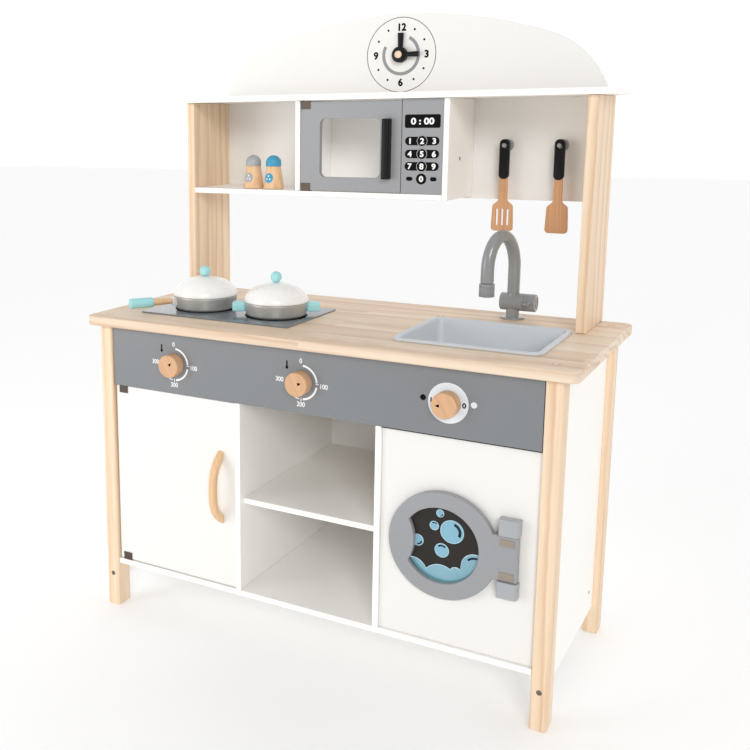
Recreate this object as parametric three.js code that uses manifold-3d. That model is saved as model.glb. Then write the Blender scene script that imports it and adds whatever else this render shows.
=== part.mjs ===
// Toy kitchen: a free-standing wooden play kitchen with a hob, sink, tap, microwave, clock,
// cupboard, open shelves and washing machine, and its pans, utensils and shakers.
// Millimetres, +Z up, +Y towards the back, X = 0 in the middle of the width.
// Inside this file y = 0 is the front edge of the worktop; the last lines move the origin to the
// middle of the footprint, on the floor.
import * as THREE from 'three';
import { mergeVertices } from 'three/addons/utils/BufferGeometryUtils.js';
import Module from 'manifold-3d';

const wasm = await Module();
wasm.setup();

// ---------- driving dimensions ----------
const GAP = 0.3;                 // joint line between two boards that touch
const SWING_GAP = 1.0;           // clearance round a door leaf
const BOARD = 9;                 // thickness of the painted boards

const WORKTOP = { width: 800, depth: 366, thickness: 16, top: 517, corner: 13 };
const LEG = { width: 24, depth: 32, outer: 380, front: 13 };
const CARCASS = { front: 16, bottom: 79, sideBottom: 47, sideOuter: 370, back: 351, fasciaBottom: 400.5 };
const DIVIDER_LEFT = -119.3;     // left face of the left divider
const DIVIDER_RIGHT = 118;       // left face of the right divider
const SHELF = { top: 242, front: 27 };

const POST = { inner: 338.5, width: 15, front: 245 };
const HEADER = { bottom: 867, thickness: 10, halfWidth: 374, front: 237 };
const BACK_PANEL = { bottom: 704, halfWidth: 349 };
const ARCH = { top: 1009, crownRadius: 790, crownHalfWidth: 246, shoulderRadius: 152 };
const UPPER_SHELF_TOP = 717;
const MICROWAVE = { left: -125.5, doorRight: 55.3, right: 124.8 };
const MICROWAVE_WINDOW = { x0: -88.5, x1: 19, z0: 741, z1: 837, corner: 9 };
const CLOCK = { x: 3, z: 942, hub: 13, bore: 2.9 };

const DOOR = { front: 19, left: -353.5 };
const DOOR_PIVOT = { x: -344, y: 22 };
const MICROWAVE_PIVOT = { x: -120.4, y: 248 };
const PIVOT_PIN_RADIUS = 1.5;
const HINGE_PLATE = { inset: 2.8, width: 17, height: 12, thickness: 1 };
const BOW = { left: -153, width: 12, middle: 256, halfHeight: 61, foot: 14, bar: 10, reach: 30 };

const WASHER = { x: 224.3, z: 241, panelFront: 21, ringFront: 9, ringBack: 20, radius: 79.5 };
const WASHER_OPENING = { x: 221.5, radius: 56, bumpX: 119.5, bumpRadius: 63.5, panelRadius: 50 };
const WASHER_HINGE = { x: 326, y: 14.5, pinRadius: 2, tabBottom: 210, tabTop: 275.3 };
const WASHER_BLOCK = { x0: 304, x1: 333, front: 6, height: 24 };

const KNOB = { radius: 18.5, depth: 19, stemRadius: 5, washerRadius: 8, washerThickness: 3 };
const HOB_DIAL = { z: 449, leftX: -232.5, rightX: -2.5 };
const WASHER_DIAL = { x: 225, z: 449 };

const HOB = { x0: -333, x1: -53, y0: 66, y1: 241, thickness: 2 };
const PAN = { flare: 6, height: 23.5, wall: 2, bracketReach: 5, handleNeck: 34 };
const LID = { overhang: 1, dome: 31, sheet: 2, knobRadius: 9.2 };
const FRYING_PAN = { x: -256, y: 148, rimRadius: 54.5, handleAngle: -127.9 };
const CASSEROLE = { x: -117, y: 147, rimRadius: 52.5, handleAngle: 28 };
const LUG = { start: 0.6, end: 20.5, width: 25, z: 6.5, height: 16, corner: 3 };

const SINK = { x0: 115.5, x1: 335.5, y0: 65.5, y1: 257, corner: 18, rim: 3.7, lip: 10, depth: 50, wall: 2.5 };
const TAP = { x: 224, y: 317, bodyZ: 544.5, bodyRadius: 14.2, tube: 9.9, reach: 66, swivel: -22 };
const SPOUT = { bendZ: 600, bendTop: 663, nozzleTop: 592.5, nozzleBottom: 570.5, nozzleRadius: 12 };

const HOOK = { leftX: 192, rightX: 278.5, z: 792, discRadius: 9.2, pegRadius: 3.4, length: 27 };
const UTENSIL = { thickness: 5, handleThickness: 8, front: 343, holeRadius: 4.3, blade: 18 };
const SHAKER = { y: 273, leftX: -232, rightX: -191.5, baseRadius: 18.5, neckRadius: 12.5, bodyHeight: 39 };
const SHAKER_CAP = { radius: 13.5, straight: 6, dome: 13 };

const FRONT_MOST = DOOR.front - BOW.reach;
const BACK_MOST = WORKTOP.depth + GAP + BOARD;

// ---------- colours ----------
const PAINT = {
  pine: { color: 0xe2bd8f, roughness: 0.55 },
  beech: { color: 0xd09a66, roughness: 0.5 },
  white: { color: 0xf3f1ec, roughness: 0.45 },
  grey: { color: 0x85898b, roughness: 0.4 },
  paleGrey: { color: 0x9b9ea1, roughness: 0.4 },
  hobGrey: { color: 0x5a6468, roughness: 0.3 },
  sinkGrey: { color: 0xa3aab0, roughness: 0.35 },
  tapGrey: { color: 0x8c8b87, roughness: 0.35 },
  steel: { color: 0xb4b2ad, roughness: 0.35, metalness: 0.9 },
  bronze: { color: 0x6a5b50, roughness: 0.5, metalness: 0.3 },
  turquoise: { color: 0xa4dfe2, roughness: 0.4 },
  black: { color: 0x121313, roughness: 0.4 },
  blue: { color: 0x3199c4, roughness: 0.4 },
  enamel: { color: 0xf6f6f4, roughness: 0.2 },
};

// ---------- shape helpers ----------
const RIGHT_ANGLE = Math.PI / 2;
const radians = THREE.MathUtils.degToRad;

function toSolid(geometry) {
  const bare = geometry.clone();
  bare.deleteAttribute('normal');
  bare.deleteAttribute('uv');
  const merged = mergeVertices(bare, 1e-4);
  const vertProperties = new Float32Array(merged.attributes.position.array);
  const triVerts = new Uint32Array(merged.index.array);
  return new wasm.Manifold(new wasm.Mesh({ numProp: 3, vertProperties, triVerts }));
}

function toGeometry(solid) {
  const mesh = solid.getMesh();
  const geometry = new THREE.BufferGeometry();
  geometry.setAttribute('position', new THREE.BufferAttribute(mesh.vertProperties, 3));
  geometry.setIndex(new THREE.BufferAttribute(mesh.triVerts, 1));
  geometry.computeVertexNormals();
  return geometry;
}

function join(first, ...others) {
  return toGeometry(others.reduce((sum, other) => sum.add(toSolid(other)), toSolid(first)));
}

function cut(stock, ...tools) {
  return toGeometry(tools.reduce((rest, tool) => rest.subtract(toSolid(tool)), toSolid(stock)));
}

function block(x0, x1, y0, y1, z0, z1) {
  const box = new THREE.BoxGeometry(x1 - x0, y1 - y0, z1 - z0);
  return box.translate((x0 + x1) / 2, (y0 + y1) / 2, (z0 + z1) / 2);
}

function roundedRectangle(x0, y0, x1, y1, r) {
  const shape = new THREE.Shape();
  shape.moveTo(x0 + r, y0);
  shape.lineTo(x1 - r, y0);
  shape.absarc(x1 - r, y0 + r, r, -RIGHT_ANGLE, 0);
  shape.lineTo(x1, y1 - r);
  shape.absarc(x1 - r, y1 - r, r, 0, RIGHT_ANGLE);
  shape.lineTo(x0 + r, y1);
  shape.absarc(x0 + r, y1 - r, r, RIGHT_ANGLE, Math.PI);
  shape.lineTo(x0, y0 + r);
  shape.absarc(x0 + r, y0 + r, r, Math.PI, Math.PI + RIGHT_ANGLE);
  return shape;
}

function circle(x, y, r) {
  const shape = new THREE.Shape();
  shape.absarc(x, y, r, 0, 2 * Math.PI);
  return shape;
}

// A plate lying flat: the shape is drawn in X and Y and raised from z0 to z1.
function flatPlate(shape, z0, z1, segments = 8) {
  const options = { depth: z1 - z0, bevelEnabled: false, curveSegments: segments };
  return new THREE.ExtrudeGeometry(shape, options).translate(0, 0, z0);
}

// A plate facing the front: the shape is drawn in X and Z and runs from yFront to yBack.
function frontPlate(shape, yFront, yBack, segments = 8) {
  const options = { depth: yBack - yFront, bevelEnabled: false, curveSegments: segments };
  const plate = new THREE.ExtrudeGeometry(shape, options);
  return plate.rotateX(RIGHT_ANGLE).translate(0, yBack, 0);
}

// A plate facing sideways: the shape is drawn in Y and Z and runs from x0 to x1.
function sidePlate(shape, x0, x1, segments = 8) {
  const options = { depth: x1 - x0, bevelEnabled: false, curveSegments: segments };
  const plate = new THREE.ExtrudeGeometry(shape, options);
  return plate.rotateX(RIGHT_ANGLE).rotateZ(RIGHT_ANGLE).translate(x0, 0, 0);
}

// A turned piece standing on Z: the profile lists [radius, height] from the axis back to the axis.
function turned(profile, segments = 24) {
  const points = profile.map(([r, z]) => new THREE.Vector2(r, z));
  return new THREE.LatheGeometry(points, segments).rotateX(RIGHT_ANGLE);
}

function rod(r, length, segments = 24) {
  return new THREE.CylinderGeometry(r, r, length, segments).rotateX(RIGHT_ANGLE);
}

function uprightRod(x, y, z0, z1, r, segments = 16) {
  return rod(r, z1 - z0, segments).translate(x, y, (z0 + z1) / 2);
}

// A hole for a door's pivot pin, with a loose fit round it.
function pinHole({ x, y }, z0, z1) {
  return uprightRod(x, y, z0, z1, PIVOT_PIN_RADIUS + 0.3);
}

const kitchen = new THREE.Group();

function add(name, geometry, { color, roughness, metalness = 0 }) {
  const material = new THREE.MeshStandardMaterial({ color, roughness, metalness });
  const mesh = new THREE.Mesh(geometry, material);
  mesh.name = name;
  kitchen.add(mesh);
}

// ---------- lower cabinet ----------
function makeWorktop() {
  const { width, depth, thickness, top, corner } = WORKTOP;
  const outline = roundedRectangle(-width / 2, 0, width / 2, depth, corner);
  const slab = flatPlate(outline, top - thickness, top, 6);
  const sinkHole = flatPlate(sinkOutline(SINK.lip - SINK.wall - 0.5), top - thickness - 1, top + 1, 5);
  add('worktop', cut(slab, sinkHole), PAINT.pine);
}

function makeLegs() {
  const underside = WORKTOP.top - WORKTOP.thickness - GAP;
  const rows = { front: LEG.front, rear: WORKTOP.depth - LEG.depth };
  for (const [row, y] of Object.entries(rows)) {
    for (const [side, x] of [['left', -LEG.outer], ['right', LEG.outer - LEG.width]]) {
      add(`${row}_${side}_leg`, block(x, x + LEG.width, y, y + LEG.depth, 0, underside), PAINT.pine);
    }
  }
}

function makeCarcass() {
  const underside = WORKTOP.top - WORKTOP.thickness - GAP;
  const floor = CARCASS.bottom + BOARD;
  const inner = LEG.outer - LEG.width - GAP;
  const y0 = LEG.front + LEG.depth + GAP;
  const y1 = WORKTOP.depth - LEG.depth - GAP;
  const sides = [['left', -CARCASS.sideOuter], ['right', CARCASS.sideOuter - BOARD]];
  for (const [side, x] of sides) {
    add(`${side}_side_panel`, block(x, x + BOARD, y0, y1, CARCASS.sideBottom, underside), PAINT.white);
  }
  const back = block(-inner, inner, CARCASS.back, CARCASS.back + BOARD, CARCASS.bottom, underside);
  add('lower_back_panel', back, PAINT.white);
  const base = block(-inner, inner, CARCASS.front, CARCASS.back - GAP, CARCASS.bottom, floor);
  add('base_panel', cut(base, pinHole(DOOR_PIVOT, floor - 6, floor + 1)), PAINT.white);
  makeDivider('left_divider', DIVIDER_LEFT, false);
  makeDivider('right_divider', DIVIDER_RIGHT, true);
  const shelfLeft = DIVIDER_LEFT + BOARD + GAP;
  const shelfRight = DIVIDER_RIGHT - GAP;
  const shelf = block(shelfLeft, shelfRight, SHELF.front, CARCASS.back - GAP, SHELF.top - BOARD, SHELF.top);
  add('middle_shelf', shelf, PAINT.white);
}

// Each divider is notched at its top front corner to pass behind the control fascia, and the one
// below the sink has a recess in its top edge for the bowl.
function makeDivider(name, x, underSink) {
  const bottom = CARCASS.bottom + BOARD + GAP;
  const top = WORKTOP.top - WORKTOP.thickness - GAP;
  const notchY = CARCASS.front + BOARD + GAP;
  const notchZ = CARCASS.fasciaBottom - GAP;
  const recessZ = WORKTOP.top - SINK.depth - 2;
  const outline = new THREE.Shape();
  outline.moveTo(CARCASS.front, bottom);
  outline.lineTo(CARCASS.back - GAP, bottom);
  outline.lineTo(CARCASS.back - GAP, top);
  if (underSink) {
    outline.lineTo(SINK.y1 - SINK.lip + SINK.wall, top);
    outline.lineTo(SINK.y1 - SINK.lip + SINK.wall, recessZ);
    outline.lineTo(SINK.y0 + SINK.lip - SINK.wall, recessZ);
    outline.lineTo(SINK.y0 + SINK.lip - SINK.wall, top);
  }
  outline.lineTo(notchY, top);
  outline.lineTo(notchY, notchZ);
  outline.lineTo(CARCASS.front, notchZ);
  add(name, sidePlate(outline, x, x + BOARD), PAINT.white);
}

function makeFascia() {
  const { front, fasciaBottom } = CARCASS;
  const inner = LEG.outer - LEG.width - GAP;
  const top = WORKTOP.top - WORKTOP.thickness - GAP;
  const board = block(-inner, inner, front, front + BOARD, fasciaBottom, top);
  const spindles = [
    [HOB_DIAL.leftX, HOB_DIAL.z],
    [HOB_DIAL.rightX, HOB_DIAL.z],
    [WASHER_DIAL.x, WASHER_DIAL.z],
  ];
  const holes = spindles.map(([x, z]) => {
    const hole = circle(x, z, KNOB.stemRadius + 0.4);
    return frontPlate(hole, front - 1, front + BOARD + 1);
  });
  const socket = pinHole(DOOR_PIVOT, fasciaBottom - 1, fasciaBottom + 6);
  add('control_fascia', cut(board, ...holes, socket), PAINT.grey);
}

// A turned knob whose stem passes through the fascia and ends in a wider retaining washer.
function makeKnob(name, x, z) {
  const { radius, depth, stemRadius, washerRadius, washerThickness } = KNOB;
  const stemEnd = BOARD + 1;
  const profile = [
    [0, -stemEnd - washerThickness],
    [washerRadius, -stemEnd - washerThickness],
    [washerRadius, -stemEnd],
    [stemRadius, -stemEnd],
    [stemRadius, 0.4],
    [radius, 0.4],
    [radius, depth - 1.5],
    [radius - 1.5, depth],
    [0, depth],
  ];
  const knob = turned(profile).rotateX(RIGHT_ANGLE).translate(x, CARCASS.front, z);
  add(name, knob, PAINT.beech);
}

// ---------- cupboard door ----------
function makeCabinetDoor() {
  const bottom = CARCASS.bottom + BOARD + 1.5;
  const top = CARCASS.fasciaBottom - 1.5;
  const right = DIVIDER_LEFT - SWING_GAP;
  const leaf = block(DOOR.left, right, DOOR.front, DOOR.front + BOARD, bottom, top);
  add('cabinet_door', cut(leaf, pinHole(DOOR_PIVOT, bottom - 1, top + 1)), PAINT.white);
  makePivotHinge('cabinet_door_hinge_top', DOOR.front, DOOR_PIVOT, top, 1);
  makePivotHinge('cabinet_door_hinge_bottom', DOOR.front, DOOR_PIVOT, bottom, -1);
  makeBowHandle();
}

// A corner hinge: a plate on the face of the door, a flange over the door's edge, and a pin that
// turns in a hole in the board beyond. "up" is 1 at the top edge of a door and -1 at the bottom.
function makePivotHinge(name, front, pivot, edge, up) {
  const { inset, width, height, thickness } = HINGE_PLATE;
  const x0 = pivot.x - inset;
  const x1 = x0 + width;
  const y0 = front - GAP - thickness;
  const upright = (a, b) => [edge + up * a, edge + up * b].sort((low, high) => low - high);
  const face = block(x0, x1, y0, front - GAP, ...upright(-height, GAP + thickness));
  const flange = block(x0, x1, y0, front + 6, ...upright(GAP, GAP + thickness));
  const pin = uprightRod(pivot.x, pivot.y, ...upright(-8, 5), PIVOT_PIN_RADIUS);
  add(name, join(face, flange, pin), PAINT.bronze);
}

// The wooden bow handle: a D drawn in Y and Z, with its two feet on the door. Its outer and inner
// edges are both flattened curves that leave the door steeply.
function makeBowHandle() {
  const { left, width, middle, halfHeight, foot, bar, reach } = BOW;
  const steps = 16;
  const face = DOOR.front - GAP;
  const edge = (half, depth, s) => [face - depth * (1 - Math.abs(s) ** 3), middle + s * half];
  const outline = new THREE.Shape();
  outline.moveTo(face, middle - halfHeight);
  for (let i = 1; i <= steps; i += 1) {
    outline.lineTo(...edge(halfHeight, reach - GAP, (2 * i) / steps - 1));
  }
  for (let i = 0; i <= steps; i += 1) {
    outline.lineTo(...edge(halfHeight - foot, reach - bar, 1 - (2 * i) / steps));
  }
  add('cabinet_door_handle', sidePlate(outline, left, left + width), PAINT.beech);
}

// ---------- washing machine ----------
function washerOpening() {
  const { x, radius, bumpX, bumpRadius } = WASHER_OPENING;
  const disc = frontPlate(circle(x, WASHER.z, radius), 0, 40, 28);
  const bump = frontPlate(circle(bumpX, WASHER.z, bumpRadius), -1, 41, 32);
  return cut(disc, bump);
}

function makeWasher() {
  const left = DIVIDER_RIGHT + BOARD + GAP;
  const right = LEG.outer - LEG.width - GAP;
  const bottom = CARCASS.bottom + BOARD + GAP;
  const top = CARCASS.fasciaBottom - GAP;
  const { x, z, panelFront, ringFront, ringBack, radius } = WASHER;
  const panel = block(left, right, panelFront, panelFront + BOARD, bottom, top);
  const hole = frontPlate(circle(x, z, WASHER_OPENING.panelRadius), 0, 40, 20);
  add('washer_panel', cut(panel, hole), PAINT.white);

  const hinge = WASHER_HINGE;
  const barrel = (ringBack - ringFront) / 2;
  const ring = frontPlate(circle(x, z, radius), ringFront, ringBack, 32);
  const tab = block(x, hinge.x, ringFront, ringBack, hinge.tabBottom, hinge.tabTop);
  const tabEnd = uprightRod(hinge.x, hinge.y, hinge.tabBottom, hinge.tabTop, barrel, 20);
  const rebate = frontPlate(circle(x, z, 58), ringBack - 3.5, ringBack + 1, 20);
  const bore = uprightRod(hinge.x, hinge.y, hinge.tabBottom - 1, hinge.tabTop + 1, hinge.pinRadius + 0.3);
  const blank = join(ring, tab, tabEnd);
  add('washer_door', cut(blank, washerOpening(), rebate, bore), PAINT.paleGrey);
  const window = frontPlate(circle(x, z, 57.5), ringBack - 3.2, ringBack, 20);
  add('washer_window', window, PAINT.black);
  makeWasherHinge();
}

// The pin is pressed into the bottom block and turns in the door's tab and the top block.
function makeWasherHinge() {
  const { x, y, pinRadius, tabBottom, tabTop } = WASHER_HINGE;
  const { x0, x1, front, height } = WASHER_BLOCK;
  const back = WASHER.panelFront - GAP;
  const upper = tabTop + 0.7;
  const lower = tabBottom - 0.7 - height;
  const body = (z) => frontPlate(roundedRectangle(x0, z, x1, z + height, 1.5), front, back, 3);
  const bore = uprightRod(x, y, upper - 1, upper + height + 1, pinRadius + 0.3);
  const pin = uprightRod(x, y, lower + 3, upper + height - 3, pinRadius);
  add('washer_hinge_block_top', cut(body(upper), bore), PAINT.paleGrey);
  add('washer_hinge_block_bottom', join(body(lower), pin), PAINT.paleGrey);
}

// ---------- upper cabinet ----------
function makePosts() {
  const { inner, width, front } = POST;
  const z0 = WORKTOP.top + GAP;
  const z1 = HEADER.bottom - GAP;
  add('left_post', block(-inner - width, -inner, front, WORKTOP.depth, z0, z1), PAINT.pine);
  add('right_post', block(inner, inner + width, front, WORKTOP.depth, z0, z1), PAINT.pine);
}

// The back panel carries the arched clock head: a flat crown arc that runs into two tighter
// shoulder arcs, tangent to it.
function makeBackPanel() {
  const { top, crownRadius, crownHalfWidth, shoulderRadius } = ARCH;
  const crownZ = top - crownRadius;
  const lean = Math.asin(crownHalfWidth / crownRadius);
  const shoulderX = crownHalfWidth - shoulderRadius * Math.sin(lean);
  const shoulderZ = crownZ + (crownRadius - shoulderRadius) * Math.cos(lean);
  const { bottom, halfWidth } = BACK_PANEL;
  const shoulderEnd = Math.acos((halfWidth - shoulderX) / shoulderRadius);
  const outline = new THREE.Shape();
  outline.moveTo(-halfWidth, bottom);
  outline.lineTo(halfWidth, bottom);
  outline.lineTo(halfWidth, shoulderZ + shoulderRadius * Math.sin(shoulderEnd));
  outline.absarc(shoulderX, shoulderZ, shoulderRadius, shoulderEnd, RIGHT_ANGLE - lean);
  outline.absarc(0, crownZ, crownRadius, RIGHT_ANGLE - lean, RIGHT_ANGLE + lean);
  outline.absarc(-shoulderX, shoulderZ, shoulderRadius, RIGHT_ANGLE + lean, Math.PI - shoulderEnd);
  const yFront = WORKTOP.depth + GAP;
  const panel = frontPlate(outline, yFront, yFront + BOARD, 14);
  const clockBore = frontPlate(circle(CLOCK.x, CLOCK.z, CLOCK.bore), yFront - 1, yFront + BOARD + 1, 6);
  add('back_panel', cut(panel, clockBore), PAINT.white);
}

function makeHeader() {
  const { bottom, thickness, halfWidth, front } = HEADER;
  const board = block(-halfWidth, halfWidth, front, WORKTOP.depth, bottom, bottom + thickness);
  add('header_board', cut(board, pinHole(MICROWAVE_PIVOT, bottom - 1, bottom + 6)), PAINT.white);
}

function makeUpperShelf() {
  const { left, right } = MICROWAVE;
  const front = POST.front;
  const bottom = UPPER_SHELF_TOP - BOARD;
  const shelfLeft = -POST.inner + GAP;
  const board = block(shelfLeft, right - GAP, front, WORKTOP.depth, bottom, UPPER_SHELF_TOP);
  const socket = pinHole(MICROWAVE_PIVOT, UPPER_SHELF_TOP - 6, UPPER_SHELF_TOP + 1);
  add('upper_shelf', cut(board, socket), PAINT.white);
  const top = HEADER.bottom - GAP;
  const z0 = UPPER_SHELF_TOP + GAP;
  add('microwave_left_side', block(left - BOARD, left, front, WORKTOP.depth, z0, top), PAINT.white);
  add('microwave_right_side', block(right, right + BOARD, front, WORKTOP.depth, bottom, top), PAINT.white);
}

function makeMicrowave() {
  const { left, doorRight, right } = MICROWAVE;
  const bottom = UPPER_SHELF_TOP + 1.5;
  const top = HEADER.bottom - 2;
  const front = POST.front + 0.5;
  const leafLeft = left + 1.5;
  const leaf = block(leafLeft, doorRight, front, front + BOARD, bottom, top);
  const { x0, x1, z0, z1, corner } = MICROWAVE_WINDOW;
  const window = frontPlate(roundedRectangle(x0, z0, x1, z1, corner), front - 1, front + BOARD + 1, 8);
  const bore = pinHole(MICROWAVE_PIVOT, bottom - 1, top + 1);
  add('microwave_door', cut(leaf, window, bore), PAINT.paleGrey);
  makePivotHinge('microwave_door_hinge_top', front, MICROWAVE_PIVOT, top, 1);
  makePivotHinge('microwave_door_hinge_bottom', front, MICROWAVE_PIVOT, bottom, -1);
  const grip = flatPlate(roundedRectangle(26, front - 14, 39, front - GAP, 3), 740, 836, 4);
  add('microwave_door_handle', grip, PAINT.black);
  const z = [UPPER_SHELF_TOP + GAP, HEADER.bottom - GAP];
  const panel = block(doorRight + SWING_GAP, right - GAP, front, front + BOARD, ...z);
  add('microwave_control_panel', panel, PAINT.paleGrey);
}

// ---------- clock ----------
// A hand is a hub disc with a blade that widens towards its tip; it points along +Z at angle 0.
function clockHand(length, tipWidth, angle, yFront, yBack) {
  const rootWidth = 7.5;
  const blade = new THREE.Shape();
  blade.moveTo(-rootWidth / 2, 0);
  blade.lineTo(rootWidth / 2, 0);
  blade.lineTo(tipWidth / 2, length);
  blade.lineTo(-tipWidth / 2, length);
  const hub = frontPlate(circle(0, 0, CLOCK.hub), yFront, yBack, 14);
  const bore = frontPlate(circle(0, 0, CLOCK.bore), yFront - 1, yBack + 1, 6);
  const solid = cut(join(hub, frontPlate(blade, yFront, yBack)), bore);
  return solid.rotateY(radians(angle)).translate(CLOCK.x, 0, CLOCK.z);
}

function makeClock() {
  const face = WORKTOP.depth + GAP;
  add('clock_minute_hand', clockHand(36, 10, 0, face - 5.2, face - 0.6), PAINT.black);
  add('clock_hour_hand', clockHand(34, 9, 90, face - 10.4, face - 5.8), PAINT.black);
  const pegProfile = [[0, -8], [2.5, -8], [2.5, 11], [6, 11], [6, 14], [4.8, 15.2], [0, 15.5]];
  const peg = turned(pegProfile, 16).rotateX(RIGHT_ANGLE).translate(CLOCK.x, face, CLOCK.z);
  add('clock_peg', peg, PAINT.pine);
}

// ---------- hob and pans ----------
function makeHob() {
  const { x0, x1, y0, y1, thickness } = HOB;
  const z = WORKTOP.top + GAP;
  add('hob_plate', flatPlate(roundedRectangle(x0, y0, x1, y1, 2), z, z + thickness, 3), PAINT.hobGrey);
}

const HOB_SURFACE = WORKTOP.top + GAP + HOB.thickness + GAP;

function panBody(rimRadius) {
  const { flare, height, wall } = PAN;
  const baseRadius = rimRadius - flare;
  const profile = [
    [0, 0],
    [baseRadius, 0],
    [baseRadius + 2.5, 2],
    [rimRadius, height - 3],
    [rimRadius, height],
    [rimRadius - wall, height],
    [rimRadius - wall, height - 3],
    [baseRadius + 2.5 - wall, wall + 2],
    [0, wall],
  ];
  return turned(profile, 30);
}

// The lid rests on the rim; its dome is hollow and open underneath, and its ball is flat below.
function makeLid(name, { x, y, rimRadius }) {
  const { overhang, dome, sheet, knobRadius } = LID;
  const radius = rimRadius + overhang;
  const steps = 5;
  const profile = [[0, dome - sheet]];
  for (let i = 1; i <= steps; i += 1) {
    const a = (i / steps) * RIGHT_ANGLE;
    profile.push([(radius - sheet) * Math.sin(a), (dome - sheet) * Math.cos(a)]);
  }
  for (let i = steps; i >= 0; i -= 1) {
    const a = (i / steps) * RIGHT_ANGLE;
    profile.push([radius * Math.sin(a), dome * Math.cos(a)]);
  }
  const z = HOB_SURFACE + PAN.height + GAP;
  add(name, turned(profile, 30).translate(x, y, z), PAINT.enamel);
  const ball = new THREE.SphereGeometry(knobRadius, 18, 12).rotateX(RIGHT_ANGLE);
  const seat = knobRadius - 1;
  const below = block(-knobRadius, knobRadius, -knobRadius, knobRadius, -2 * knobRadius, -seat);
  const placed = cut(ball, below).translate(x, y, z + dome + GAP + seat);
  add(`${name}_knob`, placed, PAINT.turquoise);
}

function makeFryingPan() {
  const { x, y, rimRadius, handleAngle } = FRYING_PAN;
  const { bracketReach, handleNeck } = PAN;
  const place = (geometry) => geometry.rotateZ(radians(handleAngle)).translate(x, y, HOB_SURFACE + 15.5);
  const bracket = place(block(rimRadius - 3.5, rimRadius + bracketReach, -5, 5, -7, 6));
  add('frying_pan', join(panBody(rimRadius).translate(x, y, HOB_SURFACE), bracket), PAINT.steel);
  makeLid('frying_pan_lid', FRYING_PAN);
  const profile = [
    [0, 0],
    [4.5, 0],
    [6.2, handleNeck],
    [7.5, handleNeck],
    [8.6, handleNeck + 2],
    [8.6, handleNeck + 39],
    [7, handleNeck + 41],
    [0, handleNeck + 41],
  ];
  const handle = turned(profile, 18).rotateY(RIGHT_ANGLE).translate(rimRadius + bracketReach + GAP, 0, 0);
  add('frying_pan_handle', place(handle), PAINT.beech);
}

function makeCasserole() {
  const { x, y, rimRadius, handleAngle } = CASSEROLE;
  const { start, end, width, height, corner } = LUG;
  add('casserole', panBody(rimRadius).translate(x, y, HOB_SURFACE), PAINT.steel);
  makeLid('casserole_lid', CASSEROLE);
  const z = HOB_SURFACE + LUG.z;
  for (const [side, turn] of [['left', 180], ['right', 0]]) {
    const outline = roundedRectangle(rimRadius + start, -width / 2, rimRadius + end, width / 2, corner);
    const lug = flatPlate(outline, 0, height, 4);
    const placed = lug.rotateZ(radians(handleAngle + turn)).translate(x, y, z);
    add(`casserole_${side}_handle`, placed, PAINT.turquoise);
  }
}

// ---------- sink and tap ----------
function sinkOutline(inset) {
  const { x0, x1, y0, y1, corner } = SINK;
  return roundedRectangle(x0 + inset, y0 + inset, x1 - inset, y1 - inset, Math.max(corner - inset, 2));
}

// A bowl shape with a softened bottom edge, from z0 up past the rim.
function bowl(inset, z0, height) {
  const soft = 6;
  const edge = { bevelThickness: soft, bevelSize: soft, bevelSegments: 2 };
  const options = { ...edge, depth: height, curveSegments: 4 };
  return new THREE.ExtrudeGeometry(sinkOutline(inset + soft), options).translate(0, 0, z0 + soft);
}

function makeSink() {
  const { rim, lip, depth, wall } = SINK;
  const z = WORKTOP.top + GAP;
  const floor = z - depth;
  const rimPlate = flatPlate(sinkOutline(0), z, z + rim, 5);
  const shell = bowl(lip - wall + 1, floor, depth);
  const above = block(0, WORKTOP.width / 2, 0, WORKTOP.depth, z + rim, z + 2 * depth);
  const inside = bowl(lip + 1, floor + wall, depth + 20);
  add('sink', cut(join(rimPlate, shell), above, inside), PAINT.sinkGrey);
}

function makeTap() {
  const { x, y, bodyZ, bodyRadius, swivel } = TAP;
  const base = WORKTOP.top + GAP;
  const standProfile = [[0, 0], [18.9, 0], [18.9, 2.2], [18.1, 3], [10.3, 3], [10.3, 20], [0, 20]];
  const stand = turned(standProfile).translate(x, y, base);
  const body = rod(bodyRadius, 38).rotateY(RIGHT_ANGLE).translate(x, y, bodyZ);
  const neck = uprightRod(x, y, bodyZ, bodyZ + bodyRadius + 0.7, TAP.tube, 24);
  add('tap_body', join(stand, body, neck), PAINT.tapGrey);

  const spout = makeSpout(bodyZ + bodyRadius + 1).rotateZ(radians(swivel));
  add('tap_spout', spout.translate(x, y, 0), PAINT.tapGrey);

  const sleeve = rod(bodyRadius, 18).rotateY(RIGHT_ANGLE);
  const fin = block(-9, 3, -bodyRadius - 6.5, -bodyRadius + 4, -2.5, 2.5);
  const lever = join(sleeve, fin).translate(x + 19 + GAP + 9, y, bodyZ);
  add('tap_lever', lever, PAINT.tapGrey);
}

// The spout rises from the barrel's neck, bends over in half an ellipse and drops into a nozzle.
function makeSpout(neckZ) {
  const { bendZ, bendTop, nozzleTop, nozzleBottom, nozzleRadius } = SPOUT;
  const span = TAP.reach / 2;
  const points = [new THREE.Vector3(0, 0, neckZ)];
  for (let i = 0; i <= 12; i += 1) {
    const a = (i / 12) * Math.PI;
    const rise = (bendTop - TAP.tube - bendZ) * Math.sin(a);
    points.push(new THREE.Vector3(0, -span + span * Math.cos(a), bendZ + rise));
  }
  points.push(new THREE.Vector3(0, -TAP.reach, nozzleTop));
  const curve = new THREE.CatmullRomCurve3(points, false, 'centripetal');
  const options = { steps: 28, extrudePath: curve, curveSegments: 7 };
  const tube = new THREE.ExtrudeGeometry(circle(0, 0, TAP.tube), options);
  const drop = nozzleTop - nozzleBottom;
  const nozzleProfile = [[0, 0], [nozzleRadius, 0], [nozzleRadius, drop], [0, drop]];
  const nozzle = turned(nozzleProfile, 20).translate(0, -TAP.reach, nozzleBottom);
  return join(tube, nozzle);
}

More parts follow.
